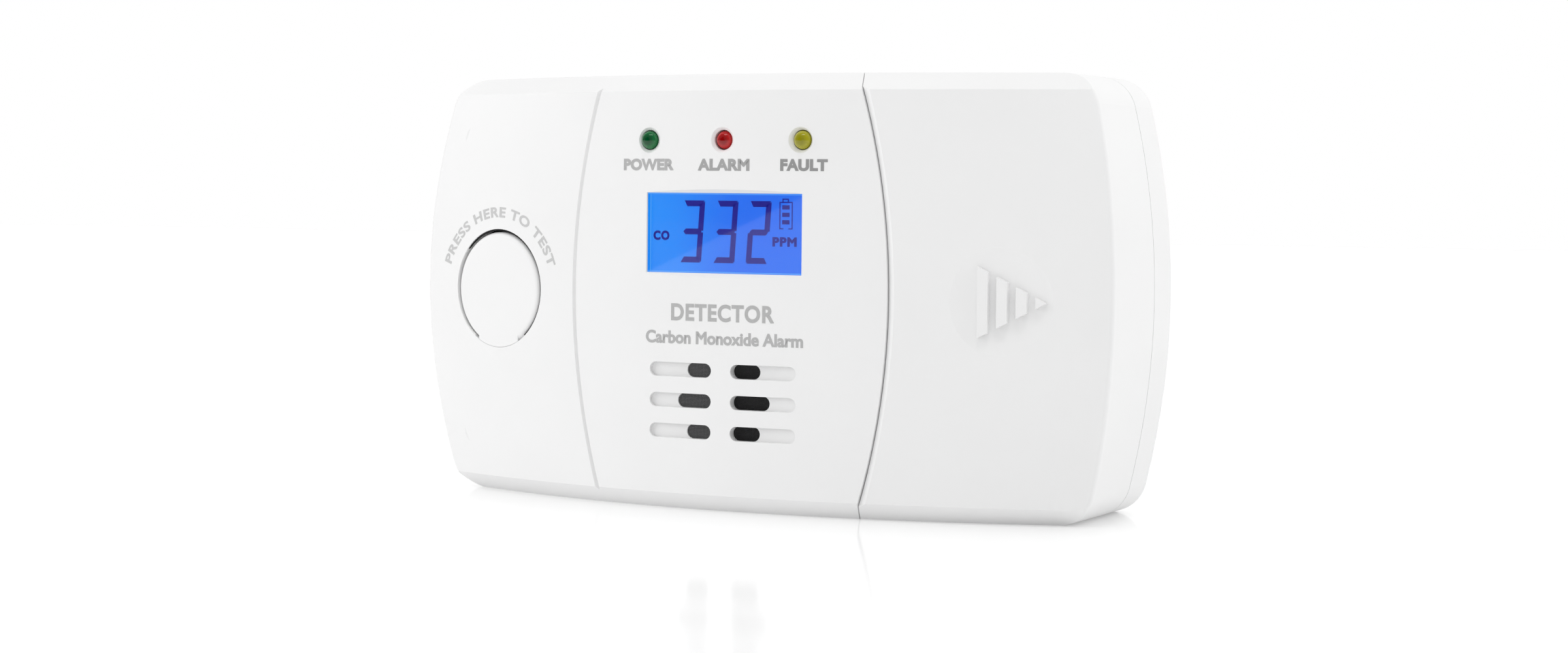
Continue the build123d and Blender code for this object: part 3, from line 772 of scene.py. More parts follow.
def finish_of(slot: Slot, window: tuple[Vector, Vector]) -> Finish:
    """Gives the finish that a slot stands for.

    Args:
        slot: Slot of the record.
        window: Lowest and highest corner of the display window.

    Returns:
        A finish with a build method.
    """
    centre = (window[0] + window[1]) / 2
    half = (window[1] - window[0]) / 2
    table = {
        # ABS from a polished mould: even white skin with a soft gloss.
        Slot.WHITE: MouldedPlastic("abs_white_moulded", "#eeeeee", 0.3, 0.5, 0.002),
        # ABS from a spark-eroded mould: duller white, fine grain.
        Slot.TRAY: MouldedPlastic("abs_white_matt_moulded", "#e4e4e2", 0.5, 0.4, 0.01),
        # Cast acrylic, polished: clear, with one sharp mirror image.
        Slot.WINDOW: ClearPane(),
        # Backlit liquid crystal: even blue light, a bright hairline at the rim.
        Slot.LCD: LitDisplay("lcd_glass_backlit", centre, half.x, half.z),
        # Diffusing acrylic: milky, light sinks into it a little.
        Slot.LIGHT_GUIDE: MouldedPlastic("acrylic_diffuser", "#dfe8f6", 0.3, 0.6, 0.003, 1.0),
        # ABS with carbon black: deep grey with a satin grain.
        Slot.BLACK: MouldedPlastic("abs_black_moulded", "#262628", 0.45, 0.3, 0.008),
        # Layered silicone: matt purplish grey.
        Slot.ZEBRA: MouldedPlastic("silicone_layered", "#6d6a72", 0.6, 0.1, 0.01),
        # Cast epoxy of the indicators: glassy, dark at the middle, lighter rim.
        Slot.GREEN: TintedEpoxy("epoxy_green_cast", "#076a34", "#023d1e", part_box("power_led")),
        Slot.RED: TintedEpoxy("epoxy_red_cast", "#bd1416", "#7c0407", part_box("alarm_led")),
        Slot.YELLOW: TintedEpoxy("epoxy_yellow_cast", "#a29d17", "#817d09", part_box("fault_led")),
        # Tin-plated steel: pale grey metal with drawn lines.
        Slot.TIN: WorkedMetal("tin_plate", "#c9c8c2", 0.3),
        # Solder mask on glass-epoxy: deep green with lighter raised tracks.
        Slot.BOARD: SolderMask(),
        # Filled epoxy from a mould: near-black and slightly rough.
        Slot.CHIP: MouldedPlastic("chip_epoxy_moulded", "#1f1f21", 0.5, 0.15, 0.006),
        # Fired ceramic: charcoal, harder shine than epoxy.
        Slot.CERAMIC: MouldedPlastic("chip_ceramic_fired", "#2b2b2e", 0.4, 0.15, 0.006),
        # Drawn aluminium: bright, with lines along its height.
        Slot.CAPACITOR: WorkedMetal("aluminium_drawn", "#c7cacd", 0.25),
        # Sintered ferrite: dark grey and granular.
        Slot.FERRITE: MouldedPlastic("ferrite_sintered", "#3a3a3c", 0.55, 0.2, 0.012),
        # Enamelled copper wire: warm metal with lines round the coil.
        Slot.COPPER: WorkedMetal("copper_enamelled_wire", "#c8763c", 0.3, 0.3, (0.05, 3.0, 0.05)),
        # Drawn stainless steel: cool grey metal, fine lines.
        Slot.SENSOR: WorkedMetal("stainless_drawn", "#c2c2c1", 0.24),
        # Gold flash on brass: smooth yellow metal.
        Slot.GOLD: WorkedMetal("gold_plate_on_brass", "#dcb768", 0.2),
        # Closed-cell foam: dark, dull and pitted.
        Slot.FOAM: MouldedPlastic("foam_closed_cell", "#2c2c2d", 0.85, 0.35, 0.06),
        # Rolled brass: yellow metal with rolling lines.
        Slot.BRASS: WorkedMetal("brass_rolled", "#d2ab5a", 0.25),
        # Fired piezo ceramic: bone white, faintly glossy.
        Slot.PIEZO: MouldedPlastic("piezo_ceramic_fired", "#d8d5c8", 0.4, 0.1, 0.004),
        # Moulded nylon: creamy and waxy, light sinks in a little.
        Slot.NYLON: MouldedPlastic("nylon_moulded", "#d6d3c6", 0.4, 0.3, 0.006, 0.8),
        # Nickel-plated steel: bright silver with spun lines.
        Slot.CELL: WorkedMetal("nickel_plate_on_steel", "#d0d0cf", 0.22),
        # Printed shrink film: glossy near-black.
        Slot.SLEEVE: MouldedPlastic("shrink_sleeve_printed", "#15181f", 0.22, 0.8, 0.003),
        # Nickel-plated spring wire: bright warm silver.
        Slot.SPRING: WorkedMetal("nickel_plate_spring_wire", "#cdccc6", 0.22),
        # Zinc-plated steel: bluish silver.
        Slot.SCREW: WorkedMetal("zinc_plate_on_steel", "#bfc4cb", 0.3),
        # Printed label film: silver white with rows of tiny grey print.
        Slot.LABEL: PrintedLabel(),
    }
    return table[slot]


# ---------------------------------------------------------------- sub-assemblies


@dataclass
class FrameDress:
    """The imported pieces, each dressed in its slot's finish.

    Attributes:
        materials: Finished material of each slot.
    """

    frame: dict
    materials: dict[str, bpy.types.Material] = field(default_factory=dict)

    def dress(self) -> None:
        """Builds each slot's finish and assigns it to the nodes that use it."""
        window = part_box("display_window")
        for slot in Slot:
            self.materials[slot.value] = finish_of(slot, window).build()
        for part in self.frame["record"]["subparts"]:
            node = self.frame["nodes"][part["node"]]
            for holder in node.material_slots:
                holder.material = self.materials[part["material_slot"]]
        LOG.info("dressed %d nodes", len(self.frame["nodes"]))


@dataclass
class Face:
    """The bowed front of the casing, asked for its depth at a point of the front view.

    Attributes:
        tree: Search tree over the mesh of the front cover.
        front: Depth just in front of the casing.
    """

    tree: BVHTree
    front: float

    @classmethod
    def of(cls, node: bpy.types.Object) -> "Face":
        """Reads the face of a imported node."""
        bm = bmesh.new()
        bm.from_mesh(node.data)
        tree = BVHTree.FromBMesh(bm)
        bm.free()
        return cls(tree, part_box(node.name)[0].y - MM)

    def depth(self, x: float, z: float) -> float:
        """Gives the depth of the face at a point of the front view.

        Args:
            x: Place across.
            z: Height.

        Returns:
            Depth along Y.
        """
        hit = self.tree.ray_cast(Vector((x, self.front, z)), Vector((0, 1, 0)))[0]
        return hit.y if hit else self.front


@dataclass
class Legends:
    """Printed words on the face, as a thin film of ink that follows its bow.

    Attributes:
        face: Face that carries the ink.
        film: Thickness of the ink.
        lamp_words: Word, left end, right end and grey of each word under the indicators; the greys are one
            ink in lit and shaded copies, painted shade growing from left to right.
    """

    face: Face
    film: float = 0.02 * MM
    lamp_words: tuple = (
        ("POWER", -18.6, -8.95, "#a6a6a6"),
        ("ALARM", -4.45, 4.85, "#9a9a9a"),
        ("FAULT", 10.2, 18.2, "#8a8a8a"),
    )

    def letters(self, name: str, text: str, weight: float, spacing: float = 1.0) -> bmesh.types.BMesh:
        """Makes lettering in the XY plane and gives it as a bmesh.

        Args:
            name: Name of the passing text object.
            text: What it says.
            weight: How far the strokes are thickened.
            spacing: Spacing of the letters.

        Returns:
            The lettering, with a thickness of one unit of film along Z.
        """
        curve = bpy.data.curves.new(name, "FONT")
        curve.body = text
        curve.space_character = spacing
        curve.resolution_u = 6
        holder = bpy.data.objects.new(name, curve)
        bpy.context.scene.collection.objects.link(holder)
        bpy.context.view_layer.update()
        shape = bpy.data.meshes.new_from_object(holder.evaluated_get(bpy.context.evaluated_depsgraph_get()))
        bm = bmesh.new()
        bm.from_mesh(shape)
        bmesh.ops.remove_doubles(bm, verts=bm.verts, dist=1e-5)
        embolden(bm, weight)
        raised = bmesh.ops.extrude_face_region(bm, geom=bm.faces[:])
        moved = [item for item in raised["geom"] if isinstance(item, bmesh.types.BMVert)]
        bmesh.ops.translate(bm, vec=(0, 0, 1), verts=moved)
        bmesh.ops.recalc_face_normals(bm, faces=bm.faces)
        bpy.data.objects.remove(holder)
        bpy.data.curves.remove(curve)
        bpy.data.meshes.remove(shape)
        return bm

    def on_face(self, bm: bmesh.types.BMesh) -> None:
        """Lays lettering, given as X, height and a thickness of one, onto the face.

        Args:
            bm: Lettering, changed in place.
        """
        for vert in bm.verts:
            x, z, lift = vert.co
            vert.co = Vector((x, self.face.depth(x, z) - (lift + 0.4) * self.film, z))

    def line(
        self,
        name: str,
        text: str,
        box: tuple[float, float, float, float],
        weight: float,
        ink: bpy.types.Material,
        spacing: float = 1.0,
    ) -> None:
        """Prints one straight line of words into a box of the front view.

        Args:
            name: Name of the piece.
            text: What it says.
            box: Left, right, low and high edge, in millimetres.
            weight: How far the strokes are thickened.
            ink: Its finish.
            spacing: Spacing of the letters.
        """
        bm = self.letters(name, text, weight, spacing)
        fit_between(bm, tuple(side * MM for side in box))
        self.on_face(bm)
        piece = mesh_object(name, bm, ink)
        on_housing(piece)

    def arc(
        self,
        name: str,
        text: str,
        centre: Vector,
        radius: float,
        height: float,
        sweep: float,
        ink: bpy.types.Material,
    ) -> None:
        """Prints words along an arc over the test button.

        Args:
            name: Name of the piece.
            text: What it says.
            centre: Middle of the arc.
            radius: Radius of the foot of the letters.
            height: Height of the letters.
            sweep: Angle that the words take up, in radians.
            ink: Its finish.
        """
        bm = self.letters(name, text, 0.03, 1.12)
        fit_between(bm, (-sweep / 2, sweep / 2, radius, radius + height))
        for vert in bm.verts:
            turn, reach, _ = vert.co
            vert.co.x = centre.x + math.sin(turn) * reach
            vert.co.y = centre.z + math.cos(turn) * reach
        self.on_face(bm)
        piece = mesh_object(name, bm, ink)
        on_housing(piece)

    def build(self) -> None:
        """Prints every word of the face."""
        grey = PrintingInk("ink_grey_painted_shade", "#a9a9a9").build()
        pale = PrintingInk("ink_pale_grey_painted_shade", "#b9b9b9").build()
        # Each word gets its own grey of the same ink: painted shade, lighter at the left and darker at the
        # right.
        for word, left, right, shade in self.lamp_words:
            ink = PrintingInk(f"ink_{word.lower()}_painted_shade", shade).build()
            self.line(f"legend_{word.lower()}", word, (left, right, 54.55, 56.45), 0.055, ink, 1.05)
        self.line("legend_detector", "DETECTOR", (-9.2, 9.4, 30.5, 33.3), 0.035, grey, 1.1)
        self.line("legend_gas", "Carbon Monoxide Alarm", (-14.0, 14.4, 26.8, 28.9), 0.036, grey)
        self.arc("legend_press", "PRESS HERE TO TEST", BUTTON_MIDDLE, 11.9 * MM, 1.75 * MM, 2.5, pale)
        LOG.info("printed the legends")


@dataclass
class Display:
    """What the liquid crystal shows: a lit blue field, slanted digits, unit words and a cell symbol.

    Attributes:
        window: Lowest and highest corner of the clear pane.
        legends: Maker of lettering.
        materials: Finished material of each slot.
        lean: Slant of the digits, across over up.
    """

    window: tuple[Vector, Vector]
    legends: Legends
    materials: dict[str, bpy.types.Material]
    lean: float = 0.07
    digit_width: float = 3.87 * MM
    digit_height: float = 9.95 * MM
    stroke: float = 0.94 * MM
    digits: tuple = ((-8.36, "abcdg"), (-2.33, "abcdg"), (3.6, "abged"))
    foot: float = 39.85 * MM

    @property
    def picture_y(self) -> float:
        """Depth of the picture, just behind the pane."""
        return self.window[1].y + 0.06 * MM

    def field_sheet(self) -> None:
        """Adds the lit sheet behind the pane."""
        low, high = self.window
        inset = 0.05 * MM
        bm = bmesh.new()
        block(
            bm,
            Vector((low.x + inset, self.picture_y, low.z + inset)),
            Vector((high.x - inset, self.picture_y + 0.3 * MM, high.z - inset)),
        )
        piece = mesh_object("display_field", bm, self.materials[Slot.LCD.value])
        on_housing(piece)

    def patch(self, bm: bmesh.types.BMesh, outline: list[tuple[float, float]]) -> None:
        """Adds one flat patch of the picture.

        Args:
            bm: Mesh that gets it.
            outline: Its corners in order, as X and height.
        """
        level = self.picture_y - 0.035 * MM
        flat = flat_face(bm, [Vector((x, level, z)) for x, z in outline])
        raised = bmesh.ops.extrude_face_region(bm, geom=flat)
        moved = [v for v in raised["geom"] if isinstance(v, bmesh.types.BMVert)]
        bmesh.ops.translate(bm, vec=(0, 0.03 * MM, 0), verts=moved)

    def bar(self, bm: bmesh.types.BMesh, low: tuple[float, float], high: tuple[float, float]) -> None:
        """Adds one plain rectangle of the picture.

        Args:
            bm: Mesh that gets it.
            low: Lower left corner, as X and height in millimetres.
            high: Upper right corner.
        """
        left, foot, right, top = (side * MM for side in (*low, *high))
        self.patch(bm, [(left, foot), (right, foot), (right, top), (left, top)])

    def digit(self, bm: bmesh.types.BMesh, left: float, shown: str) -> None:
        """Adds one slanted seven-segment digit with mitred segments.

        Args:
            bm: Mesh that gets it.
            left: Place of its foot's left end.
            shown: Letters of the segments that show.
        """
        wide, tall, wall = self.digit_width, self.digit_height, self.stroke
        gap, mid, half = 0.13 * MM, self.digit_height / 2, self.stroke / 2
        corner = wall * 0.72
        level = [(gap, 0), (wide - gap, 0), (wide - corner, wall), (corner, wall)]
        upright = [(0, gap), (0, mid - gap), (half, mid - gap), (wall, mid - half), (wall, corner)]
        centre = [
            (gap * 2, mid),
            (corner, mid - half),
            (wide - corner, mid - half),
            (wide - gap * 2, mid),
            (wide - corner, mid + half),
            (corner, mid + half),
        ]
        shapes = {
            "a": [(x, tall - z) for x, z in level],
            "b": [(wide - x, tall - z) for x, z in upright],
            "c": [(wide - x, z) for x, z in upright],
            "d": level,
            "e": upright,
            "f": [(x, tall - z) for x, z in upright],
            "g": centre,
        }
        for name in shown:
            self.patch(bm, [(left + x + z * self.lean, self.foot + z) for x, z in shapes[name]])

    def cell_symbol(self, bm: bmesh.types.BMesh) -> None:
        """Adds the cell symbol: an open outline with its nub and three level bars."""
        left, right, foot, top = 9.54, 11.88, 45.38, 49.72
        nub_left, nub_right, nub_top = 10.06, 11.18, 50.22
        line, lip = 0.18, 0.72
        self.bar(bm, (left, foot), (left + line, top))
        self.bar(bm, (right - line, foot), (right, top))
        self.bar(bm, (left + line, top - line), (right - line, top))
        self.bar(bm, (left + line, foot), (left + lip, foot + line))
        self.bar(bm, (right - lip, foot), (right - line, foot + line))
        self.bar(bm, (nub_left, top), (nub_left + line, nub_top))
        self.bar(bm, (nub_right - line, top), (nub_right, nub_top))
        self.bar(bm, (nub_left + line, nub_top - line), (nub_right - line, nub_top))
        for level in range(3):
            low = 46.17 + level * 1.17
            self.bar(bm, (10.04, low), (11.33, low + 0.67))

    def word(self, name: str, text: str, box: tuple, ink: bpy.types.Material) -> None:
        """Adds a unit word to the picture.

        Args:
            name: Name of the piece.
            text: What it says.
            box: Left, right, low and high edge, in millimetres.
            ink: Its finish.
        """
        bm = self.legends.letters(name, text, 0.055, 1.15)
        fit_between(bm, tuple(side * MM for side in box))
        for vert in bm.verts:
            x, z, lift = vert.co
            vert.co = Vector((x, self.picture_y - (lift + 1) * WORD_FILM, z))
        piece = mesh_object(name, bm, ink)
        on_housing(piece)

    def build(self) -> None:
        """Builds the picture."""
        self.field_sheet()
        ink = PrintingInk("liquid_crystal_dark", "#14089a", 0.6, 0.3).build()
        bm = bmesh.new()
        for left, shown in self.digits:
            self.digit(bm, left * MM, shown)
        bmesh.ops.recalc_face_normals(bm, faces=bm.faces)
        digits = mesh_object("display_digits", bm, ink)
        symbol = bmesh.new()
        self.cell_symbol(symbol)
        bmesh.ops.recalc_face_normals(symbol, faces=symbol.faces)
        cell = mesh_object("display_cell_symbol", symbol, ink)
        for piece in (digits, cell):
            on_housing(piece)
        self.word("display_gas", "CO", (-13.26, -10.3, 43.35, 44.9), ink)
        self.word("display_unit", "PPM", (8.35, 12.65, 42.65, 44.15), ink)
        LOG.info("built the display")


@dataclass
class DustCloth:
    """Woven cloth that keeps dust out of the sounder: a disc and the parts that fill the grille's openings.

    The left openings hold a mid-grey cloth and the right ones a near-black cloth: painted light at the left,
    painted shade at the right.

    Attributes:
        gasket: Lowest and highest corner of the ring that it is glued to.
        face: Face that the openings are cut in.
        radius: Radius of the cloth.
        lift: How far in front of the ring's back it lies.
        slot_inner: Distance from the middle to the inner end of each opening.
        slot_height: Height of an opening.
        rows: Rise and outer end of the openings of each row.
        play: Room left around the cloth in an opening.
        sunk: Depth of the cloth below the floor of the slot.
        probe: How far past an opening its slot's floor is measured.
    """

    gasket: tuple[Vector, Vector]
    face: Face
    radius: float = 12.2 * MM
    lift: float = 0.2 * MM
    slot_inner: float = 1.73 * MM
    slot_height: float = 2.3 * MM
    rows: tuple = ((4.94, 6.6), (0.0, 8.3), (-4.94, 6.6))
    play: float = 0.03 * MM
    sunk: float = 0.25 * MM
    probe: float = 0.8 * MM

    def opening(self, bm: bmesh.types.BMesh, side: int, rise: float, reach: float, back: float) -> None:
        """Adds the part of the cloth that fills one opening.

        Args:
            bm: Mesh that gets it.
            side: -1 for the left openings, 1 for the right ones.
            rise: Height above the middle of the grille.
            reach: Outer end of the opening.
            back: Depth where it joins the disc.
        """
        z = GRILLE_MIDDLE.z + rise
        floor = self.face.depth(side * (reach + self.probe), z)
        inner, outer = self.slot_inner + self.play, reach - self.play
        half = self.slot_height / 2 - self.play
        xs = sorted((side * inner, side * outer))
        low = Vector((xs[0], floor + self.sunk, z - half))
        high = Vector((xs[1], back, z + half))
        made = block(bm, low, high)
        edges = {e for v in made["verts"] for e in v.link_edges}
        ends = [e for e in edges if abs(e.verts[0].co.y - e.verts[1].co.y) > 1e-5]
        bmesh.ops.bevel(
            bm, geom=ends, offset=half * 0.98, affect="EDGES", segments=8, profile=0.5, material=-1
        )

    def build(self) -> None:
        """Builds the cloth with its pressed-out parts."""
        low, high = self.gasket
        centre = Vector(((low.x + high.x) / 2, low.y + self.lift, (low.z + high.z) / 2))
        # Two greys of one cloth: the pale one paints light into the left openings, the dark one paints shade
        # into the right ones.
        for side, name, weave in (
            (-1, "left", WovenCloth("cloth_polyester_painted_lit", "#7c7c7d", "#39393a")),
            (1, "right", WovenCloth("cloth_polyester_painted_shade", "#2b2b2c", "#121213")),
        ):
            bm = bmesh.new()
            for rise, reach in self.rows:
                self.opening(bm, side, rise * MM, reach * MM, centre.y - 0.07 * MM)
            piece = mesh_object(f"dust_cloth_{name}", bm, weave.build())
            on_housing(piece)
        bm = bmesh.new()
        disc(bm, centre, self.radius, 0.12 * MM, 64)
        piece = mesh_object("dust_cloth", bm, WovenCloth().build())
        on_housing(piece)
        LOG.info("built the dust cloth")


@dataclass
class ButtonSeal:
    """Soft seal in the gap round the test button: black over the top and right as painted shade in the gap,
    white at the left as painted light on the hole's wall.

    Attributes:
        face: Face that the button sits in.
        inner: Inner radius of the seal.
        outer: Outer radius, just inside the hole.
        depth: Height of the seal along Y.
        rim: Radius at which the face's depth is measured, just outside the hole.
        parts: Name, first angle, last angle and sink of each part, from the right turning upwards.
    """

    face: Face
    inner: float = 9.67 * MM
    outer: float = 9.93 * MM
    depth: float = 0.5 * MM
    rim: float = 10.25 * MM
    # The dark part is painted shade in the gap; the pale part is painted light on the hole's wall.
    parts: tuple = (("dark", -52.0, 138.0, 0.12), ("pale", 140.0, 236.0, 0.04))

    def ring(self, name: str, start: float, end: float, sink: float, material: bpy.types.Material) -> None:
        """Spins one part of the seal and lays it along the bowed face.

        Args:
            name: Name of the piece.
            start: First angle in degrees.
            end: Last angle in degrees.
            sink: How far below the face it lies, in millimetres.
            material: Its finish.
        """
        bm = bmesh.new()
        profile = [
            Vector((self.inner, 0, 0)),
            Vector((self.outer, 0, 0)),
            Vector((self.outer, self.depth, 0)),
            Vector((self.inner, self.depth, 0)),
        ]
        faces = flat_face(bm, profile)
        first = Matrix.Rotation(-math.radians(start), 4, "Y")
        bmesh.ops.transform(bm, matrix=first, verts=bm.verts)
        bmesh.ops.spin(
            bm,
            geom=faces + list(faces[0].edges) + list(faces[0].verts),
            cent=(0, 0, 0),
            axis=(0, -1, 0),
            angle=math.radians(end - start),
            steps=72,
        )
        bmesh.ops.remove_doubles(bm, verts=bm.verts, dist=1e-7)
        for vert in bm.verts:
            away = Vector((vert.co.x, 0, vert.co.z)).normalized() * self.rim
            edge = self.face.depth(BUTTON_MIDDLE.x + away.x, BUTTON_MIDDLE.z + away.z)
            vert.co = BUTTON_MIDDLE + Vector((vert.co.x, vert.co.y + edge + sink * MM, vert.co.z))
        bmesh.ops.recalc_face_normals(bm, faces=bm.faces)
        piece = mesh_object(name, bm, material, smooth=True)
        on_housing(piece)

    def build(self) -> None:
        """Builds both parts of the seal."""
        # Black paints the gap's shade and white paints light on the hole's wall.
        finishes = {
            "dark": MouldedPlastic("silicone_black_painted_shade", "#0c0c0d", 0.7, 0.2, 0.01),
            "pale": MouldedPlastic("silicone_white_painted_lit", "#f2f2f1", 0.5, 0.2, 0.01),
        }
        for name, start, end, sink in self.parts:
            self.ring(f"button_seal_{name}", start, end, sink, finishes[name].build())
        LOG.info("built the button seal")


@dataclass
class CellPrint:
    """Printed bands round the two cells: a plain grey band at the top and a pale hairline below it.

    Attributes:
        sleeves: Lowest and highest corner of both sleeves together.
        film: Thickness of the printed film.
    """

    sleeves: tuple[Vector, Vector]
    film: float = 0.03 * MM

    def band(self, bm: bmesh.types.BMesh, x: float, y: float, radius: float, low: float, high: float) -> None:
        """Adds one thin band round a cell.

        Args:
            bm: Mesh that gets it.
            x: Middle of the cell across.
            y: Middle of the cell in depth.
            radius: Radius of the sleeve.
            low: Lower edge of the band.
            high: Upper edge of the band.
        """
        turn = Matrix.Translation((x, y, (low + high) / 2))
        bmesh.ops.create_cone(
            bm,
            cap_ends=False,
            segments=64,
            radius1=radius + self.film,
            radius2=radius + self.film,
            depth=high - low,
            matrix=turn,
        )

    def build(self) -> None:
        """Builds the bands of both cells."""
        low, high = self.sleeves
        wide, deep = high.x - low.x, high.y - low.y
        pair = Vector((1, 0, 0)) if wide > deep else Vector((0, 1, 0))
        radius = min(wide, deep) / 2
        middle = (low + high) / 2
        reach = max(wide, deep) / 2 - radius
        tall = high.z - low.z
        finishes = (
            ("cell_band_grey", PrintingInk("ink_grey_on_sleeve", "#8f979f", 0.35), 0.9, 0.985),
            ("cell_line_pale", PrintingInk("ink_pale_on_sleeve", "#c9ccd0"), 0.86, 0.872),
        )
        for name, finish, start, end in finishes:
            bm = bmesh.new()
            for side in (-1, 1):
                spot = middle + pair * reach * side
                foot, top = (start, end) if side < 0 else (1 - end, 1 - start)
                self.band(bm, spot.x, spot.y, radius, low.z + foot * tall, low.z + top * tall)
            piece = mesh_object(name, bm, finish.build(), smooth=True)
            on_housing(piece)
        LOG.info("printed the cells")


@dataclass
class Studio:
    """Plain pale floor, soft light and the camera.

    Attributes:
        camera_place: Where the camera stands, in millimetres.
        azimuth: Turn of the view to the left, in degrees.
        pitch: How far it looks down, in degrees.
        roll: Turn about its own axis, in degrees.
        lens: Focal length, in millimetres on a 36 mm wide sensor.
        sky: Strength of the sky's light.
        table_glow: Light that the lit table gives.
        mirrored_sky: Strength of the sky in mirror-like surfaces.
        glare_edge: Two points, across and up in millimetres, where the glare on the display ends.
        flag_reach: How far behind the mirrored display the cards hang, in camera distances.
        card_overhang: How far the cards reach past the display's mirror image, in metres.
        card_height: Height of each card, in metres.
    """

    camera_place: tuple = (206.95, -402.25, 50.76)
    azimuth: float = 27.01
    pitch: float = 2.74
    roll: float = -0.54
    lens: float = 63.0
    sky: float = 0.82
    table_glow: float = 0.14
    mirrored_sky: float = 0.22
    glare_edge: tuple = ((-13.77, 38.35), (13.76, 50.49))
    flag_reach: float = 2.2
    card_overhang: float = 0.25
    card_height: float = 0.3

    def camera(self) -> None:
        """Sets the camera at the view of the object from its right-hand side."""
        data = bpy.data.cameras.new("camera")
        data.lens = self.lens
        data.sensor_width = 36.0
        data.clip_start = 0.01
        view = bpy.data.objects.new("camera", data)
        turn = (
            Matrix.Rotation(math.radians(self.azimuth), 4, "Z")
            @ Matrix.Rotation(math.radians(90 - self.pitch), 4, "X")
            @ Matrix.Rotation(math.radians(-self.roll), 4, "Z")
        )
        view.matrix_world = Matrix.Translation(Vector(self.camera_place) * MM) @ turn
        bpy.context.scene.collection.objects.link(view)
        bpy.context.scene.camera = view

    def area(self, name: str, place: Vector, aim: Vector, size: tuple[float, float], power: float) -> None:
        """Adds a soft rectangular lamp.

        Args:
            name: Name of the lamp.
            place: Where it stands.
            aim: What it points at.
            size: Width and height.
            power: Power in watts.
        """
        data = bpy.data.lights.new(name, "AREA")
        data.shape = "RECTANGLE"
        data.size, data.size_y = size
        data.energy = power
        lamp = bpy.data.objects.new(name, data)
        lamp.location = place
        lamp.rotation_euler = (aim - place).to_track_quat("-Z", "Y").to_euler()
        lamp.visible_camera = False
        lamp.visible_glossy = False
        bpy.context.scene.collection.objects.link(lamp)

    def floor(self) -> None:
        """Adds the pale, faintly reflecting floor."""
        material, tree, shader = new_material("floor_white_acrylic")
        place = add_node(tree, "ShaderNodeTexCoord").outputs["Object"]
        haze = add_node(tree, "ShaderNodeTexNoise", inputs={"Vector": place, "Scale": 40.0, "Detail": 2.0})
        gloss = add_node(
            tree, "ShaderNodeMapRange", inputs={"Value": haze.outputs["Fac"], "To Min": 0.1, "To Max": 0.14}
        )
        tree.links.new(gloss.outputs["Result"], shader.inputs["Roughness"])
        shader.inputs["Base Color"].default_value = linear("#ececec")
        shader.inputs["Specular IOR Level"].default_value = 0.25
        shader.inputs["Emission Color"].default_value = linear("#ffffff")
        shader.inputs["Emission Strength"].default_value = self.table_glow
        bm = bmesh.new()
        bmesh.ops.create_grid(bm, x_segments=1, y_segments=1, size=4.0)
        ground = mesh_object("studio_floor", bm, material)

    def world(self) -> None:
        """Lights the room with an even pale sky that mirrors more dimly than it shines."""
        scene = bpy.context.scene
        sky = bpy.data.worlds.new("studio")
        sky.use_nodes = True
        tree = sky.node_tree
        path = add_node(tree, "ShaderNodeLightPath")
        seen = add_node(
            tree,
            "ShaderNodeMapRange",
            inputs={"Value": path.outputs["Is Camera Ray"], "To Min": self.sky, "To Max": 1.0},
        )
        strength = add_node(
            tree,
            "ShaderNodeMix",
            inputs={
                "Factor": path.outputs["Is Glossy Ray"],
                "A": seen.outputs["Result"],
                "B": self.mirrored_sky,
            },
        )
        tree.links.new(strength.outputs["Result"], tree.nodes["Background"].inputs["Strength"])
        tree.nodes["Background"].inputs["Color"].default_value = linear("#ffffff")
        scene.world = sky
        scene.view_settings.view_transform = "Standard"
        scene.view_settings.look = "None"

    def card(self, name: str, corners: list[Vector], strength: float, lit: tuple[str, ...] = ()) -> None:
        """Adds a flat shining or black card.

        Args:
            name: Name of the card.
            corners: Its corners in order.
            strength: Light that it gives; 0 for a black card.
            lit: Nodes that a card's light reaches. With any named, the card itself is seen in mirrors only; a
                black card gives no light, so for it the names have no other effect.
        """
        material, _, shader = new_material(f"{name}_cloth")
        shader.inputs["Base Color"].default_value = linear("#000000")
        shader.inputs["Specular IOR Level"].default_value = 0.0
        shader.inputs["Emission Color"].default_value = linear("#ffffff")
        shader.inputs["Emission Strength"].default_value = strength
        bm = bmesh.new()
        flat_face(bm, corners)
        sheet = mesh_object(name, bm, material)
        if lit:
            mirrors = bpy.data.collections.new(f"{name}_mirrors")
            for node in lit:
                mirrors.objects.link(bpy.data.objects[node])
            sheet.light_linking.receiver_collection = mirrors
            sheet.visible_camera = False
            sheet.visible_diffuse = False
            sheet.visible_shadow = False
            sheet.visible_transmission = False

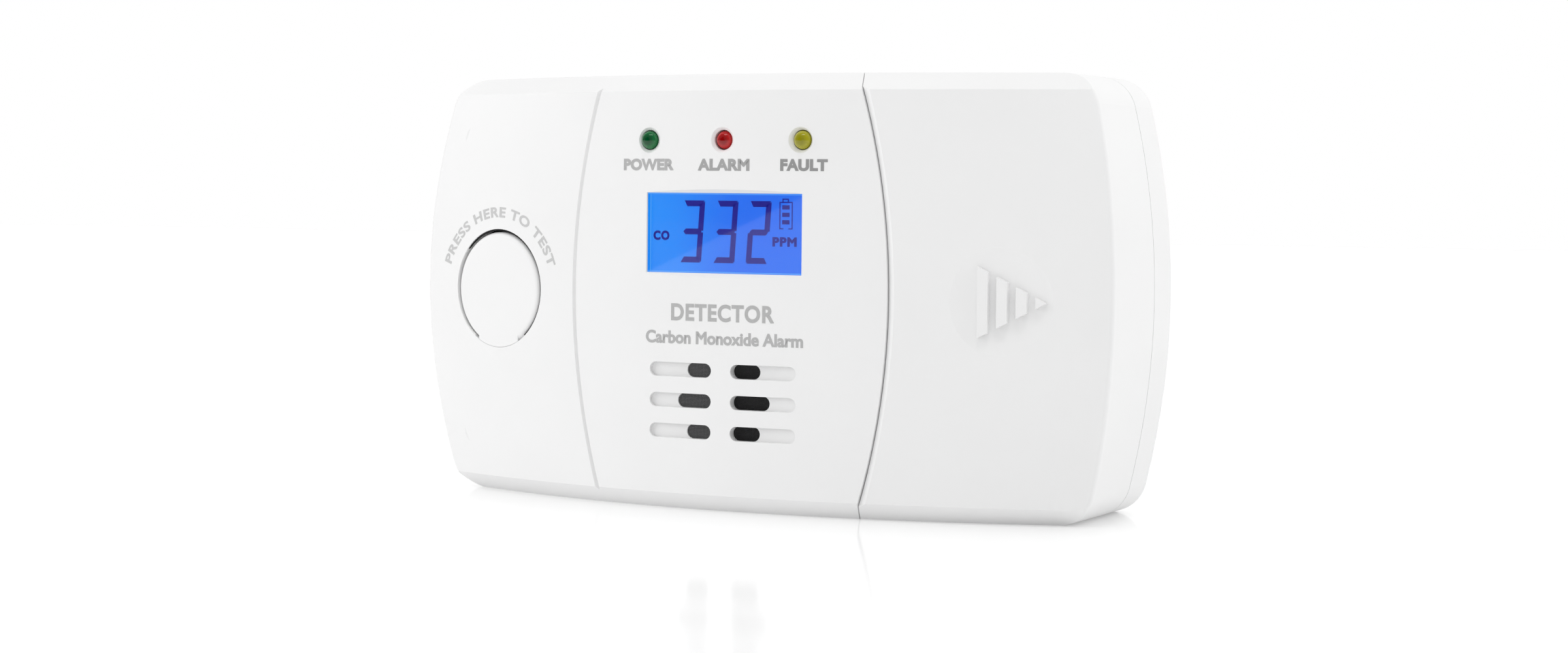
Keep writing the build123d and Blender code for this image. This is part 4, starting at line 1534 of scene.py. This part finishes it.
    def flag(self) -> None:
        """Hangs a black and a bright card whose shared slanted edge is mirrored across the display."""
        mirror_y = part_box("display_window")[0].y
        eye = Vector(self.camera_place) * MM
        eye.y = 2 * mirror_y - eye.y
        edge = [Vector((x * MM, mirror_y, z * MM)) for x, z in self.glare_edge]
        low, high = (eye + (point - eye) * self.flag_reach for point in edge)
        run = (high - low).normalized()
        low, high = low - run * self.card_overhang, high + run * self.card_overhang
        rise = Vector((-run.z, 0, run.x)) * self.card_height
        self.card("flag", [low, high, high + rise, low + rise], 0.0, ("display_window",))
        self.card("glare_card", [low, high, high - rise, low - rise], 0.9, ("display_window",))

    def bar_light(self) -> None:
        """Hangs a long bar of light overhead whose light reaches the indicators only, as a glint."""
        middle, half_length, half_width = Vector((0.12, -0.3, 0.8)), 0.26, 0.07
        run = Vector((0.9, 0.43, 0)) * half_length
        facing = Vector((0.129, -0.27, -0.95))
        lift = facing.cross(run).normalized() * half_width
        corners = [middle - run - lift, middle + run - lift, middle + run + lift, middle - run + lift]
        self.card("bar_light", corners, 5.0, ("power_led", "alarm_led", "fault_led"))

    def backdrop(self) -> None:
        """Hangs a shining white cloth behind the object."""
        wide, tall, y = 4.0, 3.0, 2.5
        foot = -0.5
        corners = [Vector((x, y, z)) for x, z in ((-wide, foot), (wide, foot), (wide, tall), (-wide, tall))]
        self.card("backdrop", corners, 1.0)

    def build(self) -> None:
        """Builds the studio."""
        self.camera()
        self.floor()
        self.world()
        self.backdrop()
        self.flag()
        self.bar_light()
        middle = Vector((0, 0, 0.035))
        self.area("key_left", Vector((-0.75, -0.45, 0.34)), middle, (0.6, 0.6), 3.2)
        self.area("side_right", Vector((0.75, 0.1, 0.5)), middle, (0.4, 0.4), 1.5)
        self.area("top_soft", Vector((0.15, -0.25, 0.85)), middle, (0.12, 0.05), 1.0)


def main() -> None:
    """Builds the object's looks and the studio around it."""
    logging.basicConfig(level=logging.INFO, format="%(name)s: %(message)s")
    for stray in list(bpy.data.objects):
        bpy.data.objects.remove(stray)
    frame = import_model()
    dress = FrameDress(frame)
    dress.dress()
    face = Face.of(frame["nodes"]["front_cover"])
    legends = Legends(face)
    legends.build()
    Display(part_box("display_window"), legends, dress.materials).build()
    DustCloth(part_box("sounder_gasket"), face).build()
    ButtonSeal(face).build()
    CellPrint(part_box("battery_sleeves")).build()
    Studio().build()


if __name__ == "__main__":
    main()
